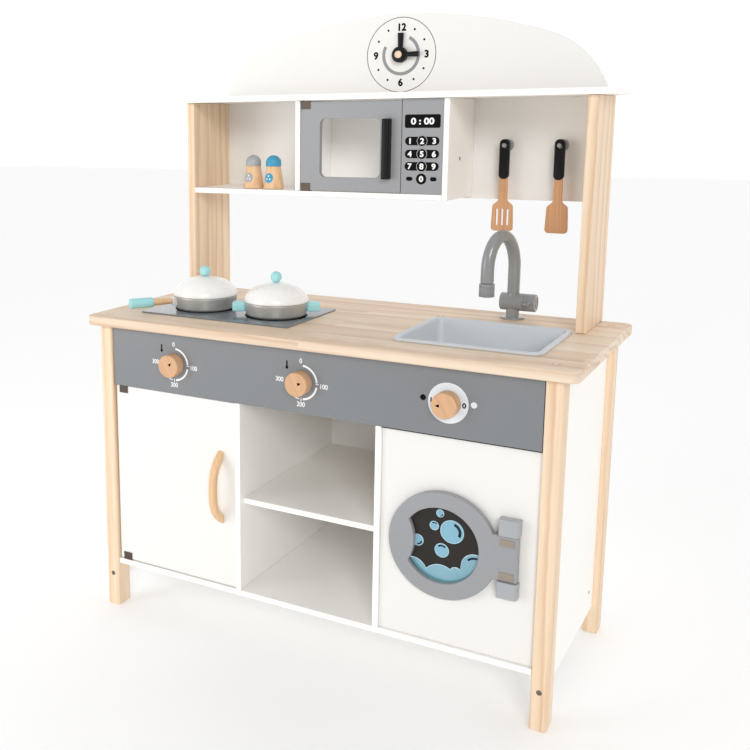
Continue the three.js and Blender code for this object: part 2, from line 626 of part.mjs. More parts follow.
// ---------- hooks and utensils ----------
function makeHook(name, x) {
  const { z, discRadius, pegRadius, length } = HOOK;
  const face = WORKTOP.depth;
  const profile = [
    [0, 0],
    [discRadius, 0],
    [discRadius, 4],
    [pegRadius, 5],
    [pegRadius, length],
    [0, length],
  ];
  add(name, turned(profile, 18).rotateX(RIGHT_ANGLE).translate(x, face, z), PAINT.tapGrey);
}

// Both utensils are one piece of wood with a thicker painted handle; z = 0 is the centre of the
// hanging hole, which sits a little below the middle of the peg because it rests on it.
function makeUtensil(name, x, slotted) {
  const { thickness, handleThickness, front, holeRadius, blade } = UTENSIL;
  const { z, pegRadius } = HOOK;
  const sag = holeRadius - pegRadius - 0.2;
  const handle = frontPlate(roundedRectangle(-8, -53, 8, 10.5, 7.5), front, front + handleThickness, 4);
  const hole = frontPlate(circle(0, 0, holeRadius), front - 1, front + handleThickness + 1, 7);
  const inset = (handleThickness - thickness) / 2;
  const y0 = front + inset;
  const outline = new THREE.Shape();
  outline.moveTo(-6.5, -45);
  outline.lineTo(-7, -86);
  outline.quadraticCurveTo(-8, -91, 4.5 - blade, -94);
  outline.quadraticCurveTo(1 - blade, -97, 1 - blade, -103);
  outline.lineTo(-blade, -131);
  outline.quadraticCurveTo(-blade, -137, 5.5 - blade, -137);
  outline.lineTo(blade - 5.5, -137);
  outline.quadraticCurveTo(blade, -137, blade, -131);
  outline.lineTo(blade - 1, -103);
  outline.quadraticCurveTo(blade - 1, -97, blade - 4.5, -94);
  outline.quadraticCurveTo(8, -91, 7, -86);
  outline.lineTo(6.5, -45);
  const blank = frontPlate(outline, y0, y0 + thickness, 3);
  const slots = (slotted ? [-8.5, 0, 8.5] : []).map((sx) => {
    const slot = roundedRectangle(sx - 1.6, -128, sx + 1.6, -101, 1.5);
    return frontPlate(slot, y0 - 1, y0 + thickness + 1, 2);
  });
  add(name, cut(join(handle, blank), hole, ...slots).translate(x, 0, z - sag), PAINT.beech);
}

// ---------- shakers ----------
// Each shaker is one turned piece: a conical body and a wider painted cap with a domed top.
function makeShaker(name, x, paint) {
  const { y, baseRadius, neckRadius, bodyHeight } = SHAKER;
  const cap = SHAKER_CAP;
  const shoulder = bodyHeight + cap.straight;
  const profile = [
    [0, 0],
    [baseRadius - 1, 0],
    [baseRadius, 1.2],
    [neckRadius, bodyHeight],
    [cap.radius, bodyHeight],
    [cap.radius, shoulder],
  ];
  const steps = 5;
  for (let i = 1; i < steps; i += 1) {
    const a = (i / steps) * RIGHT_ANGLE;
    profile.push([cap.radius * Math.cos(a), shoulder + cap.dome * Math.sin(a)]);
  }
  profile.push([0, shoulder + cap.dome]);
  add(name, turned(profile).translate(x, y, UPPER_SHELF_TOP + GAP), paint);
}

// ---------- assembly ----------
makeWorktop();
makeLegs();
makeCarcass();
makeFascia();
makeKnob('left_hob_knob', HOB_DIAL.leftX, HOB_DIAL.z);
makeKnob('right_hob_knob', HOB_DIAL.rightX, HOB_DIAL.z);
makeKnob('washer_knob', WASHER_DIAL.x, WASHER_DIAL.z);
makeCabinetDoor();
makeWasher();
makePosts();
makeBackPanel();
makeHeader();
makeUpperShelf();
makeMicrowave();
makeClock();
makeHob();
makeFryingPan();
makeCasserole();
makeSink();
makeTap();
makeHook('left_hook', HOOK.leftX);
makeHook('right_hook', HOOK.rightX);
makeUtensil('slotted_turner', HOOK.leftX, true);
makeUtensil('spatula', HOOK.rightX, false);
makeShaker('grey_shaker', SHAKER.leftX, PAINT.tapGrey);
makeShaker('blue_shaker', SHAKER.rightX, PAINT.blue);

kitchen.position.y = -(FRONT_MOST + BACK_MOST) / 2;
kitchen.updateMatrixWorld(true);

export default kitchen;
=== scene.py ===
"""The looks of the toy kitchen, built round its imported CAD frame.

Metres, +X to the right, +Y to the back, +Z up; the origin is on the floor, in the middle of the footprint.
The boards stay CAD nodes with softened edges and better materials. Turned, moulded and rounded pieces are
rebuilt here with a fine surface, and prints, plugs and screws are added.
"""
import math

import bmesh
import bpy
from mathutils import Matrix, Vector


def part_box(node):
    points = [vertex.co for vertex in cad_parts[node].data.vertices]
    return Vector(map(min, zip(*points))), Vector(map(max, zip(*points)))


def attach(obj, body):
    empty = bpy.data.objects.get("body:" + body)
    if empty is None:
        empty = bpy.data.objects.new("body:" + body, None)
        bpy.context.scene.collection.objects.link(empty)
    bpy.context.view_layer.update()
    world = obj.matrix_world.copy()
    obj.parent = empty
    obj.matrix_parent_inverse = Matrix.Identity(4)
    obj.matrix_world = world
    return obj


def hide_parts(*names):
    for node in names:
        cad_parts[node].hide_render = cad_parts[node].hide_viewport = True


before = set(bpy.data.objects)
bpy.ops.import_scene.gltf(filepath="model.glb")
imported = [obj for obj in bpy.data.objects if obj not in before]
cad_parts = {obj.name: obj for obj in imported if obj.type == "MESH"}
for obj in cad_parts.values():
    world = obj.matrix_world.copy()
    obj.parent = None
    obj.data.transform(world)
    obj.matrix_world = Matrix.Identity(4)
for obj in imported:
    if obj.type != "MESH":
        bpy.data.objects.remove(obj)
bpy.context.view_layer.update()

MM = 0.001
PRINT = 0.00012          # how far a print stands proud of its board
COPY_LIFT = 2e-6         # between the copies that make a numeral bolder
NUMERAL_SHARE = 0.71     # a numeral's height as a share of the font's size
FINE = 96                # segments of a turned piece


# ---------- places taken from the frame ----------
def centre(node):
    low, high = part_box(node)
    return (low + high) / 2


def front_of(node):
    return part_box(node)[0].y


def top_of(node):
    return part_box(node)[1].z


# ---------- mesh helpers ----------
def new_object(name, mesh, material, body, replaces=(), sharp=35):
    mesh.name = name
    mesh.materials.clear()
    mesh.materials.append(material)
    mesh.shade_smooth()
    mesh.set_sharp_from_angle(angle=math.radians(sharp))
    piece = bpy.data.objects.new(name, mesh)
    bpy.context.scene.collection.objects.link(piece)
    if body:
        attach(piece, body)
    if replaces:
        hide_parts(*replaces)
    return piece


def mesh_from(verts, faces):
    mesh = bpy.data.meshes.new("piece")
    mesh.from_pydata(verts, [], faces)
    mesh.update()
    return mesh


def merge(meshes):
    """Puts several meshes into one."""
    whole = bmesh.new()
    for mesh in meshes:
        whole.from_mesh(mesh)
    merged = bpy.data.meshes.new("piece")
    whole.to_mesh(merged)
    whole.free()
    return merged


def moved(mesh, matrix):
    mesh.transform(matrix)
    return mesh


def at(x, y, z):
    return Matrix.Translation((x, y, z))


def turn_about(axis, degrees):
    return Matrix.Rotation(math.radians(degrees), 4, axis)


FACING_FRONT = turn_about("X", 90)      # lays XY drawings in XZ, and points a turned piece to the front
FACING_BACK = turn_about("X", -90)
FACING_SIDE = turn_about("Y", 90)       # points a turned piece to the right
DRAWN_FROM_SIDE = Matrix(((0, 0, 1, 0), (1, 0, 0, 0), (0, 1, 0, 0), (0, 0, 0, 1)))   # XY drawings in YZ


def fillet(points, steps=5, closed=False):
    """Rounds the corners of a line of (x, y, radius) points."""
    result = []
    count = len(points)
    for i, (x, y, radius) in enumerate(points):
        here = Vector((x, y))
        if radius == 0 or (not closed and i in (0, count - 1)):
            result.append((x, y))
            continue
        to_last = Vector(points[i - 1][:2]) - here
        to_next = Vector(points[(i + 1) % count][:2]) - here
        half = to_last.angle(to_next) / 2
        reach = min(radius / math.tan(half), 0.499 * to_last.length, 0.499 * to_next.length)
        bend = reach * math.tan(half)
        middle = here + (to_last.normalized() + to_next.normalized()).normalized() * bend / math.sin(half)
        start = here + to_last.normalized() * reach - middle
        end = here + to_next.normalized() * reach - middle
        first = math.atan2(start.y, start.x)
        turn = (math.atan2(end.y, end.x) - first + math.pi) % (2 * math.pi) - math.pi
        for k in range(steps + 1):
            angle = first + turn * k / steps
            result.append((middle.x + bend * math.cos(angle), middle.y + bend * math.sin(angle)))
    return result


def rounded_box(x0, y0, x1, y1, radius, steps=8):
    corners = [(x0, y0, radius), (x1, y0, radius), (x1, y1, radius), (x0, y1, radius)]
    return fillet(corners, steps, closed=True)


def arc(x, y, radius, start, end, steps=48):
    """Points round (x, y); the angles are in degrees, counted from the first axis."""
    angles = [math.radians(start + (end - start) * i / steps) for i in range(steps + 1)]
    return [(x + radius * math.cos(a), y + radius * math.sin(a)) for a in angles]


def circle(x, y, radius, steps=64):
    return arc(x, y, radius, 0, 360, steps)[:-1]


def band(x, y, inner, outer, start, end, steps=48):
    """The outline of a piece of a ring. Angles run clockwise from the top, like a dial's."""
    first, last = 90 - start, 90 - end
    return arc(x, y, outer, first, last, steps) + arc(x, y, inner, last, first, steps)


def pad(x, y, half_width, half_height, corner):
    """The outline of a rounded box round (x, y); its sizes are in millimetres."""
    w, h = half_width * MM, half_height * MM
    return rounded_box(x - w, y - h, x + w, y + h, corner * MM)


def lathe(profile, segments=FINE):
    """Turns (radius, height) points about Z. The profile runs up the outside, from axis to axis."""
    verts, rings = [], []
    for radius, height in profile:
        start = len(verts)
        if radius < 1e-7:
            verts.append((0, 0, height))
            rings.append([start])
            continue
        for i in range(segments):
            angle = 2 * math.pi * i / segments
            verts.append((radius * math.cos(angle), radius * math.sin(angle), height))
        rings.append(list(range(start, start + segments)))
    faces = []
    for low, high in zip(rings, rings[1:]):
        for i in range(segments):
            j = (i + 1) % segments
            corners = [low[i % len(low)], low[j % len(low)], high[j % len(high)], high[i % len(high)]]
            corners = list(dict.fromkeys(corners))
            if len(corners) > 2:
                faces.append(corners)
    return mesh_from(verts, faces)


def turned(points, segments=FINE, steps=5):
    """A lathe piece from (radius, height, rounding) points in millimetres."""
    return lathe(fillet([(r * MM, height * MM, bend * MM) for r, height, bend in points], steps), segments)


def curve_mesh(curve):
    holder = bpy.data.objects.new("curve", curve)
    bpy.context.scene.collection.objects.link(holder)
    bpy.context.view_layer.update()
    evaluated = holder.evaluated_get(bpy.context.evaluated_depsgraph_get())
    mesh = bpy.data.meshes.new_from_object(evaluated)
    bpy.data.objects.remove(holder)
    bpy.data.curves.remove(curve)
    solid = bmesh.new()
    solid.from_mesh(mesh)
    bmesh.ops.remove_doubles(solid, verts=solid.verts, dist=1e-6)
    solid.to_mesh(mesh)
    solid.free()
    return mesh


def plate(outlines, thickness, edge=0.0, resolution=3):
    """A flat piece in X and Y, its middle at z = 0, with its edges rounded. Inner outlines are holes."""
    curve = bpy.data.curves.new("plate", "CURVE")
    curve.dimensions = "2D"
    curve.fill_mode = "BOTH"
    curve.extrude = thickness / 2 - edge
    curve.bevel_depth = edge
    curve.bevel_resolution = resolution
    curve.offset = -edge
    for outline in outlines:
        spline = curve.splines.new("POLY")
        spline.points.add(len(outline) - 1)
        for point, (x, y) in zip(spline.points, outline):
            point.co = (x, y, 0, 1)
        spline.use_cyclic_u = True
    return curve_mesh(curve)


def slab(outlines, bottom, top, edge=0.0, resolution=3):
    """A plate drawn in X and Y that reaches from one height to another."""
    return moved(plate(outlines, top - bottom, edge, resolution), at(0, 0, (bottom + top) / 2))


def front_plate(outlines, front, thickness, edge=0.0, resolution=3):
    """A plate drawn in X and Z whose face is at y = front."""
    return moved(plate(outlines, thickness, edge, resolution), at(0, front + thickness / 2, 0) @ FACING_FRONT)


def tube(path, radius, segments=32):
    """Sweeps a circle along a path; radius is a number, or a function of the share of the way."""
    points = [Vector(p) for p in path]
    count = len(points)
    normal = Vector((1, 0, 0))
    verts = []
    for i, point in enumerate(points):
        along = (points[min(i + 1, count - 1)] - points[max(i - 1, 0)]).normalized()
        normal = (normal - along * normal.dot(along)).normalized()
        other = along.cross(normal)
        r = radius(i / (count - 1)) if callable(radius) else radius
        for k in range(segments):
            angle = 2 * math.pi * k / segments
            verts.append(point + normal * (r * math.cos(angle)) + other * (r * math.sin(angle)))
    faces = [list(range(segments))[::-1], list(range((count - 1) * segments, count * segments))]
    for i in range(count - 1):
        for k in range(segments):
            j = (k + 1) % segments
            faces.append([i * segments + k, i * segments + j, (i + 1) * segments + j, (i + 1) * segments + k])
    return mesh_from(verts, faces)


def lettering(text, x, z, height, weight=0.0, stretch=1.0):
    """Numerals lying in X and Z, centred on (x, z); height is that of a numeral.

    Copies shifted by the weight, each a hair higher than the last, make the strokes bolder.
    """
    curve = bpy.data.curves.new("text", "FONT")
    curve.body = text
    curve.size = height / NUMERAL_SHARE
    curve.align_x = "CENTER"
    curve.extrude = PRINT / 2
    mesh = curve_mesh(curve)
    ups = [v.co.y for v in mesh.vertices]
    lift = at(0, -(min(ups) + max(ups)) / 2, 0)
    place = at(x, 0, z) @ FACING_FRONT @ Matrix.Diagonal((stretch, 1, 1, 1)) @ lift
    copies = []
    for k in range(8 if weight else 1):
        angle = math.radians(45 * k)
        shift = at(weight * math.cos(angle), weight * math.sin(angle), COPY_LIFT * k)
        copies.append(moved(mesh.copy(), place @ shift))
    return merge(copies)


def cross_bars(half_length, half_width, corner, thickness, edge=0.0):
    """A flat cross round Z, its sizes in millimetres except the last two."""
    outline = pad(0, 0, half_length, half_width, corner)
    return merge([moved(plate([outline], thickness, edge), turn_about("Z", angle)) for angle in (0, 90)])


def flat_print(outline):
    return moved(plate([outline], PRINT), FACING_FRONT)


def round_print(x, z, radius, steps=64):
    """A disc to print; its radius is in millimetres."""
    return flat_print(circle(x, z, radius * MM, steps))


def ring_print(x, z, inner, outer, start=0, end=360, steps=48):
    """A piece of a ring to print; its radii are in millimetres."""
    return flat_print(band(x, z, inner * MM, outer * MM, start, end, steps))


def pad_print(x, z, half_width, half_height, corner):
    return flat_print(pad(x, z, half_width, half_height, corner))


def printed(name, meshes, face, material, body, layer=0):
    """Lays thin prints, drawn in X and Z, on a face at y = face; a higher layer lies over a lower one."""
    mesh = moved(merge(meshes), at(0, face - PRINT * (layer + 0.5), 0))
    return new_object(name, mesh, material, body)


# ---------- material helpers ----------
def node(tree, kind, inputs=None, **settings):
    made = tree.nodes.new("ShaderNode" + kind)
    for key, value in settings.items():
        setattr(made, key, value)
    for key, value in (inputs or {}).items():
        if isinstance(value, bpy.types.NodeSocket):
            tree.links.new(value, made.inputs[key])
        else:
            made.inputs[key].default_value = value
    return made


def blank_material(name, **values):
    """A new material, its node tree and its shader; values are the shader's uniform sockets."""
    material = bpy.data.materials.new(name)
    material.use_nodes = True
    tree = material.node_tree
    shader = tree.nodes["Principled BSDF"]
    for key, value in values.items():
        shader.inputs[key.replace("_", " ")].default_value = value
    return material, tree, shader


def colour(code):
    """A hexadecimal screen colour as linear light."""
    parts = [int(code[i:i + 2], 16) / 255 for i in (0, 2, 4)]
    linear = [c / 12.92 if c <= 0.04045 else ((c + 0.055) / 1.055) ** 2.4 for c in parts]
    return (*linear, 1.0)


def blend_colours(tree, share, first, second, mode="MIX"):
    made = node(tree, "Mix", data_type="RGBA", blend_type=mode)
    for socket, value in ((made.inputs[0], share), (made.inputs[6], first), (made.inputs[7], second)):
        if isinstance(value, bpy.types.NodeSocket):
            tree.links.new(value, socket)
        else:
            socket.default_value = value
    return made.outputs[2]


def steps_of(tree, value, stops):
    """A colour ramp; stops are (place, grey level)."""
    ramp = node(tree, "ValToRGB", {"Fac": value})
    elements = ramp.color_ramp.elements
    while len(elements) < len(stops):
        elements.new(0.5)
    for element, (place, level) in zip(elements, stops):
        element.position = place
        element.color = (level, level, level, 1)
    return ramp.outputs["Color"]


def noise(tree, vector, scale, detail=2.0, roughness=0.5):
    inputs = {"Vector": vector, "Scale": scale, "Detail": detail, "Roughness": roughness}
    return node(tree, "TexNoise", inputs).outputs["Fac"]


def between(tree, value, low, high):
    inputs = {"Value": value, "To Min": low, "To Max": high}
    return node(tree, "MapRange", inputs).outputs["Result"]


def stretched(tree, vector, x, y, z):
    return node(tree, "Mapping", {"Vector": vector, "Scale": (x, y, z)}).outputs["Vector"]


def combined(tree, kind, operation, first, second):
    """The result of a Math or VectorMath node."""
    return node(tree, kind, {0: first, 1: second}, operation=operation).outputs[0]


def finish_shader(tree, shader, base_colour, roughness, height, strength, distance):
    """Feeds the shader's colour and roughness, and its bump from a height."""
    bump = node(tree, "Bump", {"Height": height, "Strength": strength, "Distance": distance})
    for socket, value in (("Base Color", base_colour), ("Roughness", roughness), ("Normal", bump.outputs[0])):
        tree.links.new(value, shader.inputs[socket])


def object_place(tree):
    return node(tree, "TexCoord").outputs["Object"]


# Turning the object's coordinates so that the grain runs along Z.
GRAIN_TURNS = {"Z": (0, 0, 0), "X": (0, math.pi / 2, 0), "Y": (math.pi / 2, 0, 0), "SLANT": (0, 0.5, 0.3)}


def wood(name, light, dark, grain="Z", rings=45, contrast=0.6, pith=(0.07, 0.11), planks=None, rough=0.5):
    """Lacquered wood: growth rings round a pith beside the board, fibres and a slow change of tone.

    planks is (length, width) of the glued strips of a board that lies flat, with its grain along X.
    """
    lacquer = {"Specular_IOR_Level": 0.35, "Coat_Weight": 0.12, "Coat_Roughness": 0.35}
    material, tree, shader = blank_material(name, **lacquer)
    place = object_place(tree)
    start = place
    strip_tone = None
    if planks:
        length, width = planks
        brick_inputs = {"Vector": place, "Scale": 1.0, "Mortar Size": 0.0, "Bias": 0.0,
                        "Brick Width": length, "Row Height": width,
                        "Color1": (0, 0, 0, 1), "Color2": (1, 1, 1, 1)}
        strip_tone = node(tree, "TexBrick", brick_inputs, offset=0.37, squash=1.0).outputs["Color"]
        jump = combined(tree, "VectorMath", "MULTIPLY", strip_tone, (1.7, 0.13, 0.31))
        start = combined(tree, "VectorMath", "ADD", place, jump)
    along = node(tree, "Mapping", {"Vector": start, "Rotation": GRAIN_TURNS[grain]}).outputs["Vector"]
    sway_inputs = {"Vector": stretched(tree, along, 9, 9, 1.6), "Scale": 1.0, "Detail": 2.0}
    sway = node(tree, "TexNoise", sway_inputs).outputs["Color"]
    swing = combined(tree, "VectorMath", "MULTIPLY", sway, (0.035, 0.035, 0.0))
    swung = combined(tree, "VectorMath", "ADD", along, swing)
    off_pith = node(tree, "Mapping", {"Vector": swung, "Location": (*pith, 0)}).outputs["Vector"]
    ring_inputs = {"Vector": off_pith, "Scale": rings, "Distortion": 0.8, "Detail": 2.0, "Detail Scale": 1.5}
    wave = node(tree, "TexWave", ring_inputs, wave_type="RINGS", rings_direction="Z", wave_profile="SAW")
    late_wood = [(0.0, 0.1), (0.1, 0.0), (0.55, 0.22), (0.86, 0.75), (1.0, 0.25)]
    ring = steps_of(tree, wave.outputs["Fac"], late_wood)
    ring_share = combined(tree, "Math", "MULTIPLY", ring, contrast)
    broad = noise(tree, stretched(tree, along, 14, 14, 2.2), 1.0, 3.0)
    patch = steps_of(tree, broad, [(0.3, 0.35), (0.5, 0.7), (0.68, 1.0)])
    paled = combined(tree, "Math", "MULTIPLY", ring_share, patch)
    tone = blend_colours(tree, paled, colour(light), colour(dark))
    streak = noise(tree, stretched(tree, along, 70, 70, 2.6), 1.0, 4.0, 0.6)
    streaks = steps_of(tree, streak, [(0.35, 0.0), (0.55, 0.25), (0.75, 1.0)])
    tone = blend_colours(tree, 0.5, tone, blend_colours(tree, streaks, tone, colour(dark)))
    if planks:
        tone = blend_colours(tree, between(tree, strip_tone, 0.0, 0.3), tone, colour(dark))
    fibre = noise(tree, stretched(tree, along, 420, 420, 9), 1.0, 4.0, 0.6)
    fibre_grey = steps_of(tree, fibre, [(0.25, 0.86), (0.5, 0.97), (0.75, 1.0)])
    tone = blend_colours(tree, 0.8, tone, blend_colours(tree, 1.0, tone, fibre_grey, "MULTIPLY"))
    relief = combined(tree, "Math", "ADD", fibre, ring_share)
    finish_shader(tree, shader, tone, between(tree, fibre, rough + 0.1, rough - 0.08), relief, 0.22, 0.0003)
    return material


def finish_of(name, code, rough=0.42, spread=0.03, grain=900, relief=0.00006, tint=0.03, cloud=5, **values):
    """Sprayed paint or moulded plastic: a faint cloudiness, an orange-peel surface and uneven gloss."""
    material, tree, shader = blank_material(name, **values)
    place = object_place(tree)
    base = colour(code)
    deeper = tuple(c * (1 - 3 * tint) for c in base[:3]) + (1.0,)
    clouds = steps_of(tree, noise(tree, place, cloud, 4.0), [(0.3, 0.0), (0.7, 1.0)])
    cloudy = blend_colours(tree, clouds, base, blend_colours(tree, 0.4, base, deeper))
    rubbed = between(tree, noise(tree, place, 38, 5.0, 0.65), rough - spread * 2, rough + spread * 2)
    finish_shader(tree, shader, cloudy, rubbed, noise(tree, place, grain, 2.0), 0.35, relief)
    return material


def turned_metal(name, code, rough=0.34, metallic=0.9):
    """Sheet metal with fine lines round an upright axis."""
    material, tree, shader = blank_material(name, Metallic=metallic)
    place = object_place(tree)
    lines = noise(tree, stretched(tree, place, 4, 4, 2600), 1.0, 2.0)
    dull = tuple(c * 0.82 for c in colour(code)[:3]) + (1.0,)
    smudged = blend_colours(tree, noise(tree, place, 60, 4.0, 0.6), colour(code), dull)
    rubbed = between(tree, lines, rough - 0.06, rough + 0.12)
    finish_shader(tree, shader, smudged, rubbed, lines, 0.25, 0.00005)
    return material


PINE = wood("pine_upright", "f4dcbf", "c99a6e", "Z", 21, 0.75, (0.055, 0.09))
PINE_TOP = wood("pine_worktop", "f3e2cc", "c59c78", "X", 20, 0.85, (0.04, 0.10), planks=(0.62, 0.061))
BEECH = wood("beech_turned", "dcb189", "b58057", "SLANT", 85, 0.4, (0.03, 0.06))
BEECH_LONG = wood("beech_upright", "ecc79c", "c9935f", "Z", 55, 0.5, (0.03, 0.05))
BEECH_BLADE = wood("beech_blade", "d9a77c", "b27b50", "Z", 70, 0.6, (0.02, 0.04))
# One white paint in two copies: the darker one below is painted shade, the lighter one painted light.
WHITE = finish_of("white_paint", "eceae6", 0.42, tint=0.012, cloud=3)
WHITE_PAINTED_LIGHT = finish_of("white_paint_painted_light", "fcfaf6", 0.45, tint=0.012, cloud=3)
FASCIA_GREY = finish_of("fascia_grey_paint", "7c7f82", 0.36, tint=0.03, Coat_Weight=0.15)
MID_GREY = finish_of("mid_grey_paint", "999a9d", 0.4, tint=0.03)
LIGHT_BLOCK = finish_of("hinge_block_paint", "a9acaf", 0.35, tint=0.03)
BRONZE = finish_of("hinge_bronze", "5a5048", 0.38, 0.06, 600, Metallic=0.75)
LEAF = finish_of("hinge_leaf", "a3968a", 0.4, 0.06, 600, Metallic=0.6)
BLACK = finish_of("black_paint", "0b0b0c", 0.34, 0.05, 500, Specular_IOR_Level=0.25)
BLACK_INK = finish_of("black_ink", "060607", 0.5, 0.03, Specular_IOR_Level=0.1)
WHITE_INK = finish_of("white_ink", "f5f5f3", 0.45, 0.03)
GREY_INK = finish_of("grey_ink", "8f9092", 0.45, 0.03)
LINE_INK = finish_of("line_ink", "3c3c3d", 0.45, 0.03)
HOB = finish_of("hob_sheet", "6d777e", 0.22, 0.05, 1500, tint=0.05, Coat_Weight=0.3)
STEEL = turned_metal("pan_steel", "c4c3be", 0.4, 0.55)
BRIGHT_STEEL = turned_metal("bracket_steel", "efeeeb", 0.3, 0.2)
ENAMEL = finish_of("lid_enamel", "f6f5f2", 0.28, 0.03, 400, tint=0.01, Coat_Weight=0.4)
TURQUOISE = finish_of("turquoise_paint", "a5dfe2", 0.4, tint=0.04)
SINK = finish_of("sink_plastic", "ccd1d5", 0.38, 0.012, 700, 0.00002, tint=0.012)
TAP = finish_of("tap_plastic", "8f9191", 0.24, 0.04, 700, tint=0.03, Coat_Weight=0.35)
CAP_GREY = finish_of("shaker_cap_grey", "a6a8ab", 0.4)
CAP_BLUE = finish_of("shaker_cap_blue", "3a98be", 0.4)
WINDOW_BLACK = finish_of("window_picture", "2b2724", 0.4, 0.04, 700, tint=0.15, cloud=40,
                         Specular_IOR_Level=0.25)
BUBBLE = finish_of("bubble_print", "84b3c8", 0.4, tint=0.05)
BUBBLE_EDGE = finish_of("bubble_edge_print", "b5d6e2", 0.4)
FOAM = finish_of("foam_print", "84b0bf", 0.4, tint=0.08, cloud=25)
# painted shadow: a darker band that stands for the ring's shadow on the recessed picture
RING_SHADOW_INK = finish_of("painted_ring_shadow", "5f97a4", 0.4, tint=0.08, cloud=25)
DIAL_DISC = finish_of("dial_disc_print", "dfe5ea", 0.4, 0.03)
DEEP_BLUE = finish_of("deep_blue_print", "122531", 0.45, Specular_IOR_Level=0.2)
SCREW = finish_of("screw_zinc", "8d8a84", 0.35, 0.08, 900, Metallic=0.9)
HOLE = finish_of("hole_shade", "4a3522", 0.7, 0.05)


# ---------- boards that stay CAD nodes ----------
def dress(name, material, edge):
    """Gives a CAD board its material and softens its edges, without touching its shape data."""
    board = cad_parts[name]
    if not board.material_slots:
        board.data.materials.append(material)
    board.material_slots[0].material = material
    if "custom_normal" in board.data.attributes:
        board.data.attributes.remove(board.data.attributes["custom_normal"])
    board.data.polygons.foreach_set("use_smooth", [True] * len(board.data.polygons))
    weld = board.modifiers.new("weld", "WELD")
    weld.merge_threshold = 1e-5
    flatten = board.modifiers.new("flatten", "DECIMATE")
    flatten.decimate_type = "DISSOLVE"
    flatten.angle_limit = math.radians(1)
    soft = board.modifiers.new("soften", "BEVEL")
    soft.width = edge
    soft.segments = 3
    soft.limit_method = "ANGLE"
    soft.angle_limit = math.radians(40)
    soft.use_clamp_overlap = False
    soft.harden_normals = True


WHITE_BOARDS = ("cabinet_door", "washer_panel", "back_panel")
# boards that get the lighter copy of the white paint, painted light
PAINTED_LIGHT_BOARDS = (
    "left_side_panel", "right_side_panel", "header_board",
    "lower_back_panel", "base_panel", "left_divider", "right_divider", "middle_shelf", "upper_shelf",
    "microwave_left_side", "microwave_right_side",
)
LEGS = ("front_left_leg", "front_right_leg", "rear_left_leg", "rear_right_leg")
POSTS = ("left_post", "right_post")
PIVOT_HINGES = (
    "cabinet_door_hinge_top", "cabinet_door_hinge_bottom",
    "microwave_door_hinge_top", "microwave_door_hinge_bottom",
)
BOARD_LOOKS = (
    (WHITE_BOARDS, WHITE, 0.8), (PAINTED_LIGHT_BOARDS, WHITE_PAINTED_LIGHT, 0.8), (LEGS, PINE, 2.2), (POSTS, PINE, 1.4),
    (("control_fascia",), FASCIA_GREY, 0.6), (("microwave_door", "microwave_control_panel"), MID_GREY, 0.6),
    (PIVOT_HINGES, BRONZE, 0.3),
)       # the last number is the edge's rounding in millimetres


def make_boards():
    for boards, material, edge in BOARD_LOOKS:
        for name in boards:
            dress(name, material, edge * MM)


def make_worktop():
    low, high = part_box("worktop")
    rim_low, rim_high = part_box("sink")
    inset = Vector((7 * MM, 7 * MM, 0))
    outside = rounded_box(low.x, low.y, high.x, high.y, 13 * MM, 12)
    hole = rounded_box(*(rim_low + inset).xy, *(rim_high - inset).xy, 11 * MM)
    board = slab([outside, hole[::-1]], low.z, high.z, 2.2 * MM)
    new_object("worktop_board", board, PINE_TOP, "cabinet", ["worktop"])


# ---------- knobs and dials ----------
def make_knob(name, body, mark_angle, mark_radius):
    """A wooden knob with softened edges, its stem, and a small black pointer mark on its face."""
    low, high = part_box(name)
    middle = centre(name)
    face = front_of("control_fascia")
    radius, depth, stem = [v / MM for v in ((high.x - low.x) / 2, face - low.y, face - high.y)]
    wooden = turned([(0, stem, 0), (8, stem, 0.4), (8, stem + 3, 0.4), (5, stem + 3, 0), (5, 0.4, 0),
                     (radius, 0.4, 0.7), (radius, depth, 1.6), (0, depth, 0)])
    wooden = moved(wooden, at(middle.x, face, middle.z) @ FACING_FRONT)
    new_object(f"{name}_turned", wooden, BEECH, body, [name])
    angle = math.radians(90 - mark_angle)
    mark_x = middle.x + mark_radius * math.cos(angle)
    mark_z = middle.z + mark_radius * math.sin(angle)
    wedge = fillet([(3.8 * MM, 0, 0.6 * MM), (-2.7 * MM, 2.7 * MM, 1 * MM), (-2.7 * MM, -2.7 * MM, 1 * MM)],
                   closed=True)
    mark_place = at(mark_x, 0, mark_z) @ FACING_FRONT @ turn_about("Z", 90 - mark_angle)
    pointer = moved(plate([wedge], PRINT), mark_place)
    printed(f"{name}_mark", [pointer], low.y, BLACK_INK, body)


def hob_dial(name, x, z):
    """Heat scale: an arc in three strokes, four numerals and a small thermometer."""
    r = 26
    face = front_of("control_fascia")
    strokes = [ring_print(x, z, r - half_width, r + half_width, start, end)
               for start, end, half_width in ((6, 86, 1.5), (101, 173, 1.5), (187, 216, 0.8))]
    strokes.append(pad_print(x + (r + 0.7) * MM, z, 2.7, 0.55, 0.3))
    strokes.append(pad_print(x, z - (r + 0.5) * MM, 0.55, 2.5, 0.3))
    for text, dx, dz in (("0", -0.8, 33), ("100", 37.2, -2.3), ("200", -0.4, -33.8), ("300", -36.8, 1)):
        strokes.append(lettering(text, x + dx * MM, z + dz * MM, 7.3 * MM, 0.00015, 0.9))
    printed(f"{name}_scale", strokes, face, WHITE_INK, "cabinet")
    stem_x = x - 24.2 * MM
    thermometer = [round_print(stem_x, z + 20.5 * MM, 2.4, 24),
                   pad_print(stem_x, z + 25.5 * MM, 1.3, 5.5, 1.2)]
    printed(f"{name}_thermometer", thermometer, face, BLACK_INK, "cabinet")


